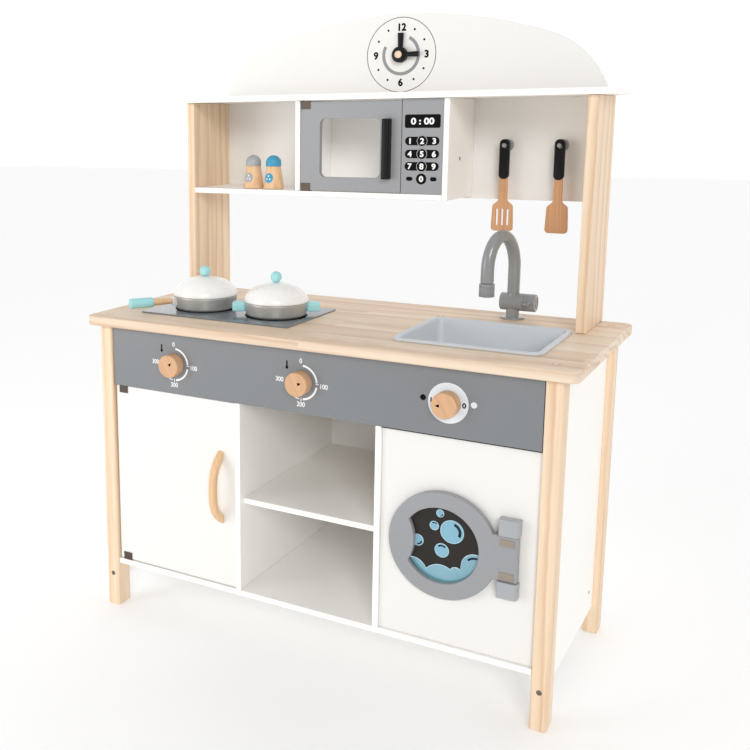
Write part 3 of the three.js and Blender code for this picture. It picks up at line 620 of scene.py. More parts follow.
def washer_dial(x, z):
    face = front_of("control_fascia")
    pale = [round_print(x, z, 29, 96), round_print(x + 36.3 * MM, z + 2 * MM, 4.4, 40)]
    printed("washer_dial_disc", pale, face, DIAL_DISC, "cabinet")
    dark = [round_print(x - 36.4 * MM, z + 3.6 * MM, 4.3, 40)]
    printed("washer_dial_dot", dark, face, BLACK_INK, "cabinet")
    marks = [lettering("0", x + 22.8 * MM, z - 0.6 * MM, 7 * MM, 0.0004, 1.1),
             lettering("1", x - 24.6 * MM, z + 1.5 * MM, 7 * MM, 0.0004)]
    printed("washer_dial_marks", marks, face, BLACK_INK, "cabinet", layer=1)


def make_controls():
    for name, body, angle, reach in (
        ("left_hob_knob", "left_knob", 46, 5.6 * MM),
        ("right_hob_knob", "right_knob", 69, 6.1 * MM),
        ("washer_knob", "selector_knob", 267, 9 * MM),
    ):
        make_knob(name, body, angle, reach)
    for name in ("left_hob_knob", "right_hob_knob"):
        spot = centre(name)
        hob_dial(name.replace("_knob", "_dial"), spot.x, spot.z)
    spot = centre("washer_knob")
    washer_dial(spot.x, spot.z)


# ---------- cupboard handle ----------
def make_bow_handle():
    """The bent wooden handle, with its long edges well rounded."""
    low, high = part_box("cabinet_door_handle")
    middle = (low.z + high.z) / 2
    half = (high.z - low.z) / 2
    reach = high.y - low.y
    foot, bar, steps = 14 * MM, 10 * MM, 40

    def edge(half_height, depth, s):
        return high.y - depth * (1 - abs(s) ** 3), middle + s * half_height

    outer = [edge(half, reach, 2 * i / steps - 1) for i in range(steps + 1)]
    inner = [edge(half - foot, reach - bar, 1 - 2 * i / steps) for i in range(steps + 1)]
    bow = plate([outer + inner], high.x - low.x, 3 * MM, 4)
    bow = moved(bow, at((low.x + high.x) / 2, 0, 0) @ DRAWN_FROM_SIDE)
    new_object("bow_handle", bow, BEECH_LONG, "cupboard_door", ["cabinet_door_handle"])


# ---------- washing machine ----------
WASHER_X = centre("washer_window").x
WASHER_Z = centre("washer_window").z
TAB_BOTTOM = WASHER_Z - 31 * MM
TAB_TOP = WASHER_Z + 34.3 * MM
HINGE_PIN_X = 326 * MM
LEAVES_X = 316.75 * MM
PICTURE_X = WASHER_X + 0.2 * MM
PICTURE_Z = WASHER_Z - 1 * MM
PICTURE_RADIUS = 56.2       # of the foam's outline, in millimetres


def ring_outline():
    """The ring's outside: a circle that runs into the hinge tab on the right."""
    low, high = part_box("washer_door")
    radius = WASHER_X - low.x
    start = math.degrees(math.asin((TAB_TOP - WASHER_Z) / radius))
    end = 360 + math.degrees(math.asin((TAB_BOTTOM - WASHER_Z) / radius))
    points = arc(WASHER_X, WASHER_Z, radius, start, end, 110)
    corner = 2 * MM
    tab = fillet([(high.x - 40 * MM, TAB_BOTTOM, 0), (high.x, TAB_BOTTOM, corner),
                  (high.x, TAB_TOP, corner), (high.x - 40 * MM, TAB_TOP, 0)])
    return points + tab[1:-1]


def ring_opening():
    """A round opening with a finger bump on the left."""
    radius, bump, offset = 56 * MM, 63.5 * MM, 102 * MM
    middle = WASHER_X - 2.8 * MM
    along = (offset ** 2 + radius ** 2 - bump ** 2) / (2 * offset)
    half = math.degrees(math.acos(along / radius))
    half_bump = math.degrees(math.acos((offset - along) / bump))
    opening = arc(middle, WASHER_Z, radius, half - 180, 180 - half, 90)
    return opening + arc(middle - offset, WASHER_Z, bump, half_bump, -half_bump, 30)[1:-1]


def foam_top(x):
    """Height of the foam above the window's centre: the highest of four round heads, in millimetres."""
    heads = ((-45, -49, 22.7), (-3, -56.5, 27), (19.5, -38, 9.6), (47, -24, 20.7))
    heights = [z + math.sqrt(r * r - (x - c) ** 2) for c, z, r in heads if abs(x - c) < r]
    return max(heights + [-42])


def foam_strip(depth):
    """The foam's outline, down to the window's rim or to a given depth below its top edge."""
    steps = 120
    xs = [-55 + 110 * i / steps for i in range(steps + 1)]
    rim = [math.sqrt(PICTURE_RADIUS ** 2 - x * x) for x in xs]
    top = [(x, min(foam_top(x), r)) for x, r in zip(xs, rim)]
    bottom = [(x, max(-r, z - depth)) for (x, z), r in zip(top, rim)]
    return [(PICTURE_X + x * MM, PICTURE_Z + z * MM) for x, z in top + bottom[::-1]]


def make_washer_picture():
    face = front_of("washer_window")
    bubbles = (
        (12.1, 22.7, 17.2, 14, 119), (-14.1, 27, 6.8, -40, 50), (-5.9, 46.9, 5.8, 95, 175),
        (-38.1, 0.5, 8.8, 95, 185), (-2, -7.8, 10.5, -45, 45),
    )
    rims, discs, crescents = [], [], []
    for x, z, r, start, end in bubbles:
        spot = (PICTURE_X + x * MM, PICTURE_Z + z * MM)
        rims.append(round_print(*spot, r))
        discs.append(round_print(*spot, r - 0.9))
        crescents.append(ring_print(*spot, r * 0.56, r * 0.8, start, end, 24))
    crescents.append(ring_print(PICTURE_X + 47 * MM, PICTURE_Z - 24 * MM, 13, 16, -48, 10, 24))
    # painted shadow of the ring along the picture's lower rim
    shade = ring_print(PICTURE_X, PICTURE_Z, 51.5, PICTURE_RADIUS, 122, 236, 60)
    for name, prints, ink, layer in (
        ("bubble_rims", rims, BUBBLE_EDGE, 0), ("bubbles", discs, BUBBLE, 1),
        ("foam", [flat_print(foam_strip(2 * PICTURE_RADIUS))], FOAM, 0),
        ("foam_edge", [flat_print(foam_strip(1.3))], BUBBLE_EDGE, 1),
        ("ring_shadow_on_foam", [shade], RING_SHADOW_INK, 1), ("crescents", crescents, DEEP_BLUE, 2),
    ):
        printed(name, prints, face, ink, "washing_door", layer)


def make_washer():
    low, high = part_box("washer_door")
    ring = front_plate([ring_outline(), ring_opening()], low.y, high.y - low.y, 1.6 * MM, 4)
    new_object("washer_ring", ring, MID_GREY, "washing_door", ["washer_door"])
    low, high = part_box("washer_window")
    disc = front_plate([circle(WASHER_X, WASHER_Z, (high.x - low.x) / 2, FINE)], low.y, high.y - low.y)
    new_object("washer_picture", disc, WINDOW_BLACK, "washing_door", ["washer_window"])
    make_washer_picture()
    make_washer_hinge()


def make_washer_hinge():
    """Two blocks with rounded front corners, the pin between them, and two leaves let into the tab."""
    block_low, block_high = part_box("washer_hinge_block_top")
    outline = fillet([
        (block_low.x, block_high.y, 0.5 * MM), (block_low.x, block_low.y, 3 * MM),
        (block_high.x, block_low.y, 6 * MM), (block_high.x, block_high.y, 0.5 * MM),
    ], 8, closed=True)
    height = block_high.z - block_low.z
    lower_top = TAB_BOTTOM - 0.7 * MM
    for end, bottom in (("top", block_low.z), ("bottom", lower_top - height)):
        block = slab([outline[::-1]], bottom, bottom + height, 1.2 * MM, 4)
        new_object(f"hinge_block_{end}", block, LIGHT_BLOCK, "cabinet",
                   [f"washer_hinge_block_{end}"])
    half_pin = (block_low.z - lower_top) / MM / 2 + 3
    pin = turned([(0, -half_pin, 0), (2, -half_pin, 0), (2, half_pin, 0), (0, half_pin, 0)], 32)
    pin = moved(pin, at(HINGE_PIN_X, centre("washer_door").y, (TAB_BOTTOM + TAB_TOP) / 2))
    new_object("washer_hinge_pin", pin, SCREW, "cabinet")
    sunk_face = front_of("washer_door") - 0.7 * MM
    outlines = [pad(LEAVES_X, WASHER_Z + rise * MM, 10.25, half_height, 1)
                for rise, half_height in ((24.9, 5.1), (-23.7, 5.7))]
    leaves = [front_plate([outline], sunk_face, 0.8 * MM, 0.25 * MM) for outline in outlines]
    new_object("washer_hinge_leaves", merge(leaves), LEAF, "washing_door")


# ---------- microwave ----------
def make_microwave():
    """The black bar handle and the printed display and keys; the boards themselves stay as they are."""
    low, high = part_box("microwave_door_handle")
    outline = fillet([(low.x, high.y, 0.3 * MM), (low.x, low.y, 4.5 * MM), (high.x, low.y, 4.5 * MM),
                      (high.x, high.y, 0.3 * MM)], 8, closed=True)
    bar = slab([outline[::-1]], low.z, high.z, 1.5 * MM, 4)
    new_object("microwave_bar_handle", bar, BLACK, "oven_door", ["microwave_door_handle"])

    x = centre("microwave_control_panel").x
    face = front_of("microwave_control_panel")
    top = top_of("microwave_control_panel")
    columns = [x + dx * MM for dx in (-20, 0, 20)]
    rows = [top - dz * MM for dz in (66, 86.3, 105.7)]
    last_row = top - 125.4 * MM
    display_z = top - 35.2 * MM
    grounds = [pad_print(x, display_z, 29.5, 10.5, 3)] + [pad_print(x, z, 28.3, 6.7, 6.6) for z in rows]
    rings = [ring_print(x, z, 8.1, 8.5, steps=72) for z in rows]
    discs = [round_print(x, z, 8.9) for z in rows] + [round_print(x, last_row, 8.6)]
    discs += [pad_print(end_x, last_row, 5.4, 3.2, 3.15) for end_x in (columns[0], columns[2])]
    numbers = [lettering("0 : 00", x, display_z, 9.8 * MM, 0.0005, 1.22)]
    keys = [(str(3 * row + column + 1), key_x, key_z)
            for row, key_z in enumerate(rows) for column, key_x in enumerate(columns)]
    for text, key_x, key_z in keys + [("0", x, last_row)]:
        numbers.append(lettering(text, key_x, key_z, 8.6 * MM, 0.0005, 1.12))
    printed("microwave_display", grounds, face, BLACK_INK, "cabinet")
    printed("microwave_key_discs", discs, face, BLACK_INK, "cabinet", layer=1)
    printed("microwave_key_rings", rings, face, WHITE_INK, "cabinet", layer=2)
    printed("microwave_numbers", numbers, face, WHITE_INK, "cabinet", layer=3)


# ---------- clock ----------
def make_clock():
    peg = centre("clock_peg")
    face = front_of("back_panel")
    x, z = peg.x, peg.z
    outline = [ring_print(x, z, 60.9, 62, steps=128)]
    printed("clock_outline", outline, face, LINE_INK, "cabinet")
    seconds = [ring_print(x, z, 28.5, 34, 27, 297, 96)]
    printed("clock_arc", seconds, face, GREY_INK, "cabinet")
    marks = []
    for hour in range(12):
        angle = math.radians(90 - 30 * hour)
        reach = (47 if hour % 3 else 45.5) * MM
        mark_x = x + reach * math.cos(angle)
        mark_z = z + reach * math.sin(angle)
        if hour % 3:
            marks.append(round_print(mark_x, mark_z, 1.9, 24))
        else:
            marks.append(lettering(str(hour or 12), mark_x, mark_z, 11.6 * MM, 0.0008))
    printed("clock_marks", marks, face, BLACK_INK, "cabinet")
    make_hand("clock_minute_hand", "minute_hand", x, z, 0, 36 * MM, 10 * MM)
    make_hand("clock_hour_hand", "hour_hand", x, z, 90, 34 * MM, 9 * MM)
    low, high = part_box("clock_peg")
    depth = (face - low.y) / MM
    back = (face - high.y) / MM
    neck = depth - 4.5
    wooden = turned([(0, back, 0), (2.5, back, 0.3), (2.5, neck, 0), (6, neck, 0.4), (6, depth, 1.6),
                     (0, depth, 0)], 48)
    new_object("clock_peg_turned", moved(wooden, at(x, face, z) @ FACING_FRONT), PINE, "cabinet",
               ["clock_peg"])


def make_hand(name, body, x, z, angle, length, tip):
    """A black hand: a hub disc with a blade that widens a little to its end."""
    low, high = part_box(name)
    hub, root = 13 * MM, 3.75 * MM
    start = math.degrees(math.asin(root / hub))
    outline = arc(0, 0, hub, 90 + start, 450 - start, 60)
    outline += fillet([(root, hub * 0.9, 0), (tip / 2, length, 1 * MM), (-tip / 2, length, 1 * MM),
                       (-root, hub * 0.9, 0)], 4)[1:-1]
    solid = plate([outline, circle(0, 0, 2.9 * MM, 24)], high.y - low.y, 0.7 * MM)
    solid = moved(solid, at(x, (low.y + high.y) / 2, z) @ FACING_FRONT @ turn_about("Z", -angle))
    new_object(f"{name}_painted", solid, BLACK, body, [name])


# ---------- hob and pans ----------
BURNER_RADIUS = 52 * MM


def make_hob():
    low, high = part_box("hob_plate")
    sheet = slab([rounded_box(low.x, low.y, high.x, high.y, 2 * MM)], low.z, high.z, 0.5 * MM)
    new_object("hob_sheet", sheet, HOB, "cabinet", ["hob_plate"])
    rings = []
    for pan in ("frying_pan_lid", "casserole_lid"):
        spot = centre(pan)
        rings.append(plate([circle(spot.x, spot.y, BURNER_RADIUS, FINE)], PRINT))
        for quarter in range(4):
            notch = plate([pad(0, BURNER_RADIUS + 1 * MM, 1.3, 3, 0.6)], PRINT)
            rings.append(moved(notch, at(spot.x, spot.y, 0) @ turn_about("Z", 90 * quarter)))
    burners = moved(merge(rings), at(0, 0, high.z + PRINT / 2))
    new_object("hob_burner_print", burners, BLACK_INK, "cabinet")


PAN_RIM = 54.5      # the radii of the two pans' rims, in millimetres
POT_RIM = 52.5
HANDLE_TURN = -127.9            # degrees; the frying pan's handle points to the front left
HANDLE_HEIGHT = 15.5 * MM
LUG_HEIGHT = 14.5 * MM
LUG_TURNS = (("left", 208), ("right", 28))


def pan_bowl(rim):
    base, height, wall = rim - 6, 23.5, 2
    return turned([
        (0, 0, 0), (base, 0, 2), (base + 3, 3, 4), (rim, height - 3, 2), (rim, height, 0.8),
        (rim - wall, height, 0.8), (rim - wall, height - 3, 2), (base + 3 - wall, 3, 3), (base - 3, wall, 3),
        (0, wall, 0),
    ], steps=6)


def make_lid(name, body):
    low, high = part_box(name)
    spot = centre(name)
    radius, dome, sheet = (high.x - low.x) / 2, high.z - low.z, 2 * MM
    inner = arc(0, 0, 1, 90, 0, 20)
    profile = [((radius - sheet) * x, (dome - sheet) * y) for x, y in inner]
    rim = fillet([(radius - sheet, 0, 0), (radius - sheet, 0, 0), (radius, 0, 0.7 * MM),
                  (radius, 2 * MM, 0)], 4)[1:-1]
    outer = [(radius * x, dome * y) for x, y in arc(0, 0, 1, 3, 90, 36)]
    shell = moved(lathe(profile + rim + outer), at(spot.x, spot.y, low.z))
    new_object(f"{name}_shell", shell, ENAMEL, body, [name])
    ball_low, ball_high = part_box(f"{name}_knob")
    r = (ball_high.x - ball_low.x) / 2
    seat = ball_high.z - 2 * r
    flat = math.degrees(math.acos((ball_high.z - r - ball_low.z) / r))
    ball = [(0, ball_low.z)] + [(x, seat + r + y) for x, y in arc(0, 0, r, flat - 90, 90, 40)]
    turned = moved(lathe(ball, 64), at(spot.x, spot.y, 0))
    new_object(f"{name}_ball", turned, TURQUOISE, body, [f"{name}_knob"])


def make_pans():
    for name, body in (("frying_pan_lid", "skillet_lid"), ("casserole_lid", "pot_lid")):
        make_lid(name, body)
    spot = centre("casserole_lid")
    pot_place = at(spot.x, spot.y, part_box("casserole")[0].z)
    pot = moved(pan_bowl(POT_RIM), pot_place)
    new_object("casserole_body", pot, STEEL, "pot", ["casserole"])
    make_lugs(pot_place)
    spot = centre("frying_pan_lid")
    pan_place = at(spot.x, spot.y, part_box("frying_pan")[0].z)
    pan = moved(pan_bowl(PAN_RIM), pan_place)
    new_object("frying_pan_body", pan, STEEL, "skillet", ["frying_pan"])
    handle_place = pan_place @ at(0, 0, HANDLE_HEIGHT) @ turn_about("Z", HANDLE_TURN)
    strap = plate([pad(56 * MM, 0, 4.5, 5.5, 1.5)], 14 * MM, 1 * MM)
    strap = moved(strap, handle_place @ at(0, 0, -0.5 * MM))
    new_object("frying_pan_bracket", strap, BRIGHT_STEEL, "skillet")
    make_pan_handle(handle_place)


def make_lugs(pot_place):
    outline = pad((POT_RIM + 8.25) * MM, 0, 11.25, 12.5, 4.5)
    for side, turn in LUG_TURNS:
        lug_place = pot_place @ at(0, 0, LUG_HEIGHT) @ turn_about("Z", turn)
        lug = moved(plate([outline], 14 * MM, 2.4 * MM, 4), lug_place)
        new_object(f"casserole_{side}_lug", lug, TURQUOISE, "pot",
                   [f"casserole_{side}_handle"])


def make_pan_handle(place):
    """A bare wooden shaft that tapers to the pan, and a painted grip pushed over its end."""
    root, neck = 59.8 * MM, 34
    end = neck + 41
    shaft = turned([(0, 0, 0), (4.5, 0, 0.6), (6.2, neck + 1, 0), (0, neck + 1, 0)], 48)
    grip = turned([(0, neck, 0), (7.6, neck, 1), (8.6, neck + 4, 3), (8.6, end, 2.2), (0, end, 0)], 64)
    outward = place @ at(root, 0, 0) @ FACING_SIDE
    new_object("pan_handle_shaft", moved(shaft, outward), BEECH_LONG, "skillet",
               ["frying_pan_handle"])
    new_object("pan_handle_grip", moved(grip, outward), TURQUOISE, "skillet")


# ---------- sink and tap ----------
def make_sink():
    """A moulded bowl: a rolled rim that lies on the worktop, sloping walls and a rounded floor."""
    low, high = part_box("sink")
    rim_under = high.z - 3.7 * MM
    floor = low.z
    sections = [
        (0.0, rim_under, 18), (0.0, high.z - 1.8 * MM, 18), (0.35, high.z - 0.9 * MM, 18),
        (1.1, high.z - 0.3 * MM, 17.5), (2.3, high.z, 16.5), (5.4, high.z, 14), (6.9, high.z - 0.4 * MM, 13),
        (8.1, high.z - 1.4 * MM, 12), (9.0, high.z - 3.5 * MM, 11.5), (10.6, floor + 16 * MM, 10.5),
        (11.6, floor + 9 * MM, 10), (13.8, floor + 4.9 * MM, 9), (17.5, floor + 2.9 * MM, 8),
        (22.5, floor + 2.5 * MM, 6),
    ]
    outside = [
        (20, floor, 5), (14.5, floor + 0.8 * MM, 8), (10.8, floor + 4 * MM, 9), (9.1, floor + 10 * MM, 10),
        (8.4, rim_under, 11),
    ]
    verts, rings = [], []
    for inset, z, corner in outside + sections:
        inset *= MM
        start = len(verts)
        outline = rounded_box(low.x + inset, low.y + inset, high.x - inset, high.y - inset, corner * MM, 8)
        verts += [(x, y, z) for x, y in outline]
        rings.append(list(range(start, len(verts))))
    faces = [rings[0][::-1], rings[-1]]
    for first, second in zip(rings, rings[1:]):
        count = len(first)
        for i in range(count):
            j = (i + 1) % count
            faces.append([first[i], first[j], second[j], second[i]])
    new_object("sink_bowl", mesh_from(verts, faces), SINK, "cabinet", ["sink"], sharp=50)


BARREL = 14.2       # the radius of the tap's barrel, in millimetres


def make_tap():
    low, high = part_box("tap_body")
    spot = centre("tap_body")
    barrel_z = high.z - (BARREL + 0.7) * MM
    half = (high.x - low.x) / MM / 2
    stand = turned([(0, 0, 0), (18.9, 0, 0.4), (18.9, 3, 1.2), (10.3, 3, 0.8), (10.3, 20, 0), (0, 20, 0)])
    barrel = turned([(0, -half, 0), (BARREL, -half, 1.6), (BARREL, half, 0.5), (0, half, 0)])
    neck = turned([(0, 0, 0), (9.6, 0, 0), (9.6, BARREL + 0.7, 0.3), (0, BARREL + 0.7, 0)])
    middle = at(spot.x, spot.y, barrel_z)
    pieces = [moved(stand, at(spot.x, spot.y, low.z)), moved(barrel, middle @ FACING_SIDE),
              moved(neck, middle)]
    new_object("tap_barrel", merge(pieces), TAP, "cabinet", ["tap_body"])
    make_lever(spot.y, barrel_z)
    make_spout(spot, barrel_z + (BARREL + 1) * MM)


def make_lever(y, z):
    """The turning end of the tap's barrel, with a stub to push and a cross in its end."""
    low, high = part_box("tap_lever")
    end = (high.x - low.x) / MM / 2
    groove = BARREL - 0.5
    sleeve = turned([
        (0, -end, 0), (BARREL, -end, 0.5), (BARREL, 4 - end, 0), (groove, 4.2 - end, 0),
        (groove, 4.9 - end, 0), (BARREL, 5.1 - end, 0), (BARREL, end, 1.8),
        (BARREL * 0.72, end, 0.4), (BARREL * 0.66, end - 1, 0.4), (0, end - 1, 0),
    ])
    stub_corners = ((-9, -9, 0), (-9, -20.7, 2.4), (3, -20.7, 2.4), (3, -9, 0))
    stub_outline = fillet([(x * MM, up * MM, bend * MM) for x, up, bend in stub_corners], 6, closed=True)
    stub = plate([stub_outline], 5 * MM, 1.2 * MM, 4)
    cross = moved(cross_bars(0.8, 7, 0.5, 1 * MM, 0.25 * MM), at((end - 0.75) * MM, 0, 0) @ FACING_SIDE)
    parts = merge([moved(sleeve, FACING_SIDE), stub, cross])
    new_object("tap_turning_end", moved(parts, at((low.x + high.x) / 2, y, z)), TAP, "lever",
               ["tap_lever"])


def make_spout(spot, neck_z):
    """The gooseneck: a tube over half an ellipse that widens a little to a ribbed nozzle."""
    low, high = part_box("tap_spout")
    reach, tube_radius, bend_z, swing = 66 * MM, 9.9 * MM, 600 * MM, -22
    nozzle_top = low.z + 22 * MM
    span = reach / 2
    rise = high.z - tube_radius - bend_z
    path = [(0, 0, neck_z + (bend_z - neck_z) * i / 8) for i in range(8)]
    for i in range(41):
        angle = math.pi * i / 40
        path.append((0, -span + span * math.cos(angle), bend_z + rise * math.sin(angle)))
    path += [(0, -reach, bend_z - (bend_z - nozzle_top) * i / 4) for i in range(1, 5)]
    pipe = tube(path, lambda share: (9.6 + 0.7 * share) * MM, 48)
    ribs, points_of_a_rib = 24, 6
    outline = []
    for i in range(ribs * points_of_a_rib):
        angle = 2 * math.pi * i / (ribs * points_of_a_rib)
        r = (11.7 + 0.3 * math.tanh(3 * math.sin(ribs * angle))) * MM
        outline.append((r * math.cos(angle), r * math.sin(angle)))
    ribbed = plate([outline, circle(0, 0, 8.4 * MM)], 15 * MM, 0.4 * MM)
    shoulder = turned([(0, 0, 0), (12, 0, 0.3), (12, 6, 1.4), (0, 6, 0)])
    parts = [pipe, moved(ribbed, at(0, -reach, nozzle_top - 14.5 * MM)),
             moved(shoulder, at(0, -reach, nozzle_top - 7 * MM))]
    whole = moved(merge(parts), at(spot.x, spot.y, 0) @ turn_about("Z", swing))
    new_object("tap_gooseneck", whole, TAP, "spout", ["tap_spout"])


# ---------- hooks and utensils ----------
def make_hook(name):
    low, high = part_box(name)
    spot = centre(name)
    length = (high.y - low.y) / MM
    hook = turned([(0, 0, 0), (9.2, 0, 0.4), (9.2, 3.6, 1.4), (3.4, 4.6, 1.2), (3.4, length, 1.2),
                   (0, length, 0)], 64)
    hook = moved(hook, at(spot.x, high.y, spot.z) @ FACING_FRONT)
    new_object(f"{name}_moulded", hook, TAP, "cabinet", [name])


def make_utensil(name, body, hook, slots_at):
    """A thin wooden blade and stem in a thicker black grip that hangs on its hook."""
    low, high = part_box(name)
    peg = centre(hook)
    place = at(peg.x, 0, peg.z - 0.7 * MM)
    blade_front = (low.y + high.y) / 2 - 2.5 * MM
    right = [(6.5, -44, 0), (7, -88, 7), (16.4, -95, 7), (18, -137, 6)]
    outline = [(a * MM, b * MM, r * MM) for a, b, r in right]
    outline += [(-a, b, r) for a, b, r in outline[::-1]]
    slots = [rounded_box((x - 1.6) * MM, -128 * MM, (x + 1.6) * MM, -101 * MM, 1.55 * MM, 5)
             for x in slots_at]
    blade = front_plate([fillet(outline, 8, closed=True)] + slots, blade_front, 5 * MM, 1.1 * MM)
    new_object(f"{name}_blade", moved(blade, place), BEECH_BLADE, body, [name])
    grip_outline = rounded_box(-8 * MM, -53 * MM, 8 * MM, 10.5 * MM, 7 * MM, 10)
    grip = front_plate([grip_outline, circle(0, 0, 4.3 * MM, 40)], low.y, high.y - low.y, 1.8 * MM, 4)
    new_object(f"{name}_grip", moved(grip, place), BLACK, body)


# ---------- shakers ----------
BADGE_TURN = math.radians(-6)


def make_shaker(name, body, cap_material):
    low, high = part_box(name)
    spot = centre(name)
    place = at(spot.x, spot.y, low.z)
    base, neck, tall, cap = 18.5 * MM, 12.5 * MM, 39 * MM, 13.5 * MM
    wooden = lathe(fillet([(0, 0, 0), (base, 0, 1.2 * MM), (neck, tall, 0.4 * MM), (0, tall, 0)]), 80)
    new_object(f"{name}_body", moved(wooden, place), BEECH_LONG, body, [name])
    shoulder = tall + 6 * MM
    dome = high.z - low.z - shoulder
    skirt = fillet([(0, tall + 0.1 * MM, 0), (cap, tall + 0.1 * MM, 0.8 * MM), (cap, shoulder, 0)], 4)[:-1]
    crown = [(cap * x, shoulder + dome * y) for x, y in arc(0, 0, 1, 0, 90, 24)]
    new_object(f"{name}_cap", moved(lathe(skirt + crown, 80), place), cap_material, body)

    def on_cone(across, up):
        radius = base - (base - neck) / tall * up + 0.15 * MM
        angle = across / radius - math.pi / 2 + BADGE_TURN
        return radius * math.cos(angle), radius * math.sin(angle), up

    middle = 19 * MM
    disc = badge(on_cone, 0, middle, 8.6 * MM)
    new_object(f"{name}_badge", moved(disc, place), cap_material, body)
    dots = [badge(on_cone, dx * MM, middle + dz * MM, 1.3 * MM, PRINT)
            for dx, dz in ((0, 3.4), (-3, -1.8), (3, -1.8))]
    new_object(f"{name}_badge_dots", moved(merge(dots), place), WHITE_INK, body)


def badge(surface, across, up, radius, lift=0.0):
    """A round patch that follows the side of a shaker."""
    rings, segments, thickness = 5, 40, 0.1 * MM
    points = [(across, up)]
    for r in range(1, rings + 1):
        points += circle(across, up, radius * r / rings, segments)
    verts, faces = [], []
    for side in (lift, lift + thickness):
        start = len(verts)
        for a, u in points:
            x, y, z = surface(a, u)
            length = math.hypot(x, y)
            verts.append((x * (1 + side / length), y * (1 + side / length), z))
        for k in range(segments):
            j = (k + 1) % segments
            corners = [[start, start + 1 + k, start + 1 + j]]
            corners += [[start + 1 + (r - 1) * segments + k, start + 1 + r * segments + k,
                         start + 1 + r * segments + j, start + 1 + (r - 1) * segments + j]
                        for r in range(1, rings)]
            faces += corners if side > lift else [c[::-1] for c in corners]
    offset = len(verts) // 2
    rim = 1 + (rings - 1) * segments
    for k in range(segments):
        j = (k + 1) % segments
        faces.append([rim + k, rim + j, offset + rim + j, offset + rim + k])
    return mesh_from(verts, faces)


# ---------- plugs and screws ----------
def screw_head(radius):
    """A flat cross-head screw, facing +Z, its face just above z = 0; its radius is in millimetres."""
    return turned([(0, -0.6, 0), (radius, -0.6, 0), (radius, 0.25, 0.3), (0, 0.45, 0)], 32, 4)


def cross_mark(radius):
    return moved(cross_bars(radius * 0.62, radius * 0.13, radius * 0.1, PRINT), at(0, 0, 0.45 * MM))


def rear_screw_places():
    """Where screws hold the back boards, and the microwave's and the lower sides."""
    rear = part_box("back_panel")[1].y
    post_x = min(341 * MM, centre("right_post").x)
    places = [at(x, rear, z * MM) @ FACING_BACK for x in (-post_x, post_x) for z in (730, 790, 850)]
    places += [at(x * MM, rear, 872 * MM) @ FACING_BACK for x in (-225, 0, 129, 300)]
    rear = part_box("lower_back_panel")[1].y
    places += [at(x * MM, rear, z * MM) @ FACING_BACK for x in (-115, 122) for z in (120, 290, 460)]
    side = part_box("microwave_right_side")[1].x
    places.append(at(side, front_of("worktop") + 300 * MM, 772 * MM) @ FACING_SIDE)
    for panel, end, turn in (("left_side_panel", 0, -90), ("right_side_panel", 1, 90)):
        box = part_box(panel)
        for y in (box[0].y + 30 * MM, box[1].y - 30 * MM):
            places.append(at(box[end].x, y, 84 * MM) @ turn_about("Y", turn))
    return places


def make_fasteners():
    """Wooden plugs in the worktop, sunk screws in the legs and screw heads on the back and the sides."""
    top = top_of("worktop")
    edge = front_of("worktop")
    plugs, seats = [], []
    for x, y in ((-372.5, 31), (363, 34), (118, 276.5), (-372.5, 335), (372.5, 335)):
        spot = at(x * MM, edge + y * MM, top)
        plug = turned([(0, -0.4, 0), (4.6, -0.4, 0), (4.6, 0.2, 0.2), (0, 0.3, 0)], 40, 4)
        plugs.append(moved(plug, spot))
        seats.append(moved(plate([circle(0, 0, 5.3 * MM, 40)], PRINT), spot))
    new_object("worktop_plugs", merge(plugs), PINE, "cabinet")
    new_object("worktop_plug_seats", merge(seats), HOLE, "cabinet")

    face = front_of("front_left_leg")
    leg_places = [at(centre(leg).x, face, 58 * MM) @ FACING_FRONT
                  for leg in ("front_left_leg", "front_right_leg")]
    holes = [moved(plate([circle(0, 0, 3.9 * MM, 32)], PRINT), place) for place in leg_places]
    sunk, crosses = [], []
    for radius, places in ((2.9, [place @ at(0, 0, -0.1 * MM) for place in leg_places]),
                           (3.2, rear_screw_places())):
        for place in places:
            sunk.append(moved(screw_head(radius), place))
            crosses.append(moved(cross_mark(radius), place))
    new_object("leg_screw_holes", merge(holes), HOLE, "cabinet")
    new_object("screw_heads", merge(sunk), SCREW, "cabinet")
    new_object("screw_crosses", merge(crosses), HOLE, "cabinet")


def make_joint_lines():
    """Painted shade: dark strips in the joints round the fascia and beside the washing machine's panel."""
    low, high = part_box("control_fascia")
    panel_low, panel_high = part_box("washer_panel")
    proud = 0.12 * MM
    joints = (
        (low.x, high.x, low.y - proud, low.y + 1 * MM, high.z - 0.8 * MM, high.z + 0.2 * MM),
        (high.x - 0.9 * MM, high.x + 0.2 * MM, low.y - proud, low.y + 1 * MM, low.z, high.z),
        (panel_low.x, panel_high.x, low.y + 0.3 * MM, panel_low.y + 0.5 * MM,
         low.z - 1.3 * MM, low.z - 0.05 * MM),
        (panel_high.x - 0.6 * MM, panel_high.x + 0.2 * MM, panel_low.y - proud, panel_low.y + 1 * MM,
         panel_low.z, panel_high.z),
    )
    # black strips that stand for the shadow in these joints
    strips = [slab([rounded_box(x0, y0, x1, y1, 0.1 * MM, 2)], z0, z1) for x0, x1, y0, y1, z0, z1 in joints]
    new_object("painted_joint_shadows", merge(strips), BLACK_INK, "cabinet")


# ---------- stage ----------
def look_from(place, azimuth, elevation, roll):
    """A camera's matrix. Azimuth 0 looks along +Y; the object is seen from the right as it grows."""
    a, e, t = map(math.radians, (azimuth, elevation, roll))
    ahead = Vector((-math.sin(a) * math.cos(e), math.cos(a) * math.cos(e), -math.sin(e)))
    right = ahead.cross(Vector((0, 0, 1))).normalized()
    up = right.cross(ahead)
    right, up = right * math.cos(t) + up * math.sin(t), up * math.cos(t) - right * math.sin(t)
    turn = Matrix((right, up, -ahead)).transposed().to_4x4()
    return Matrix.Translation(place) @ turn


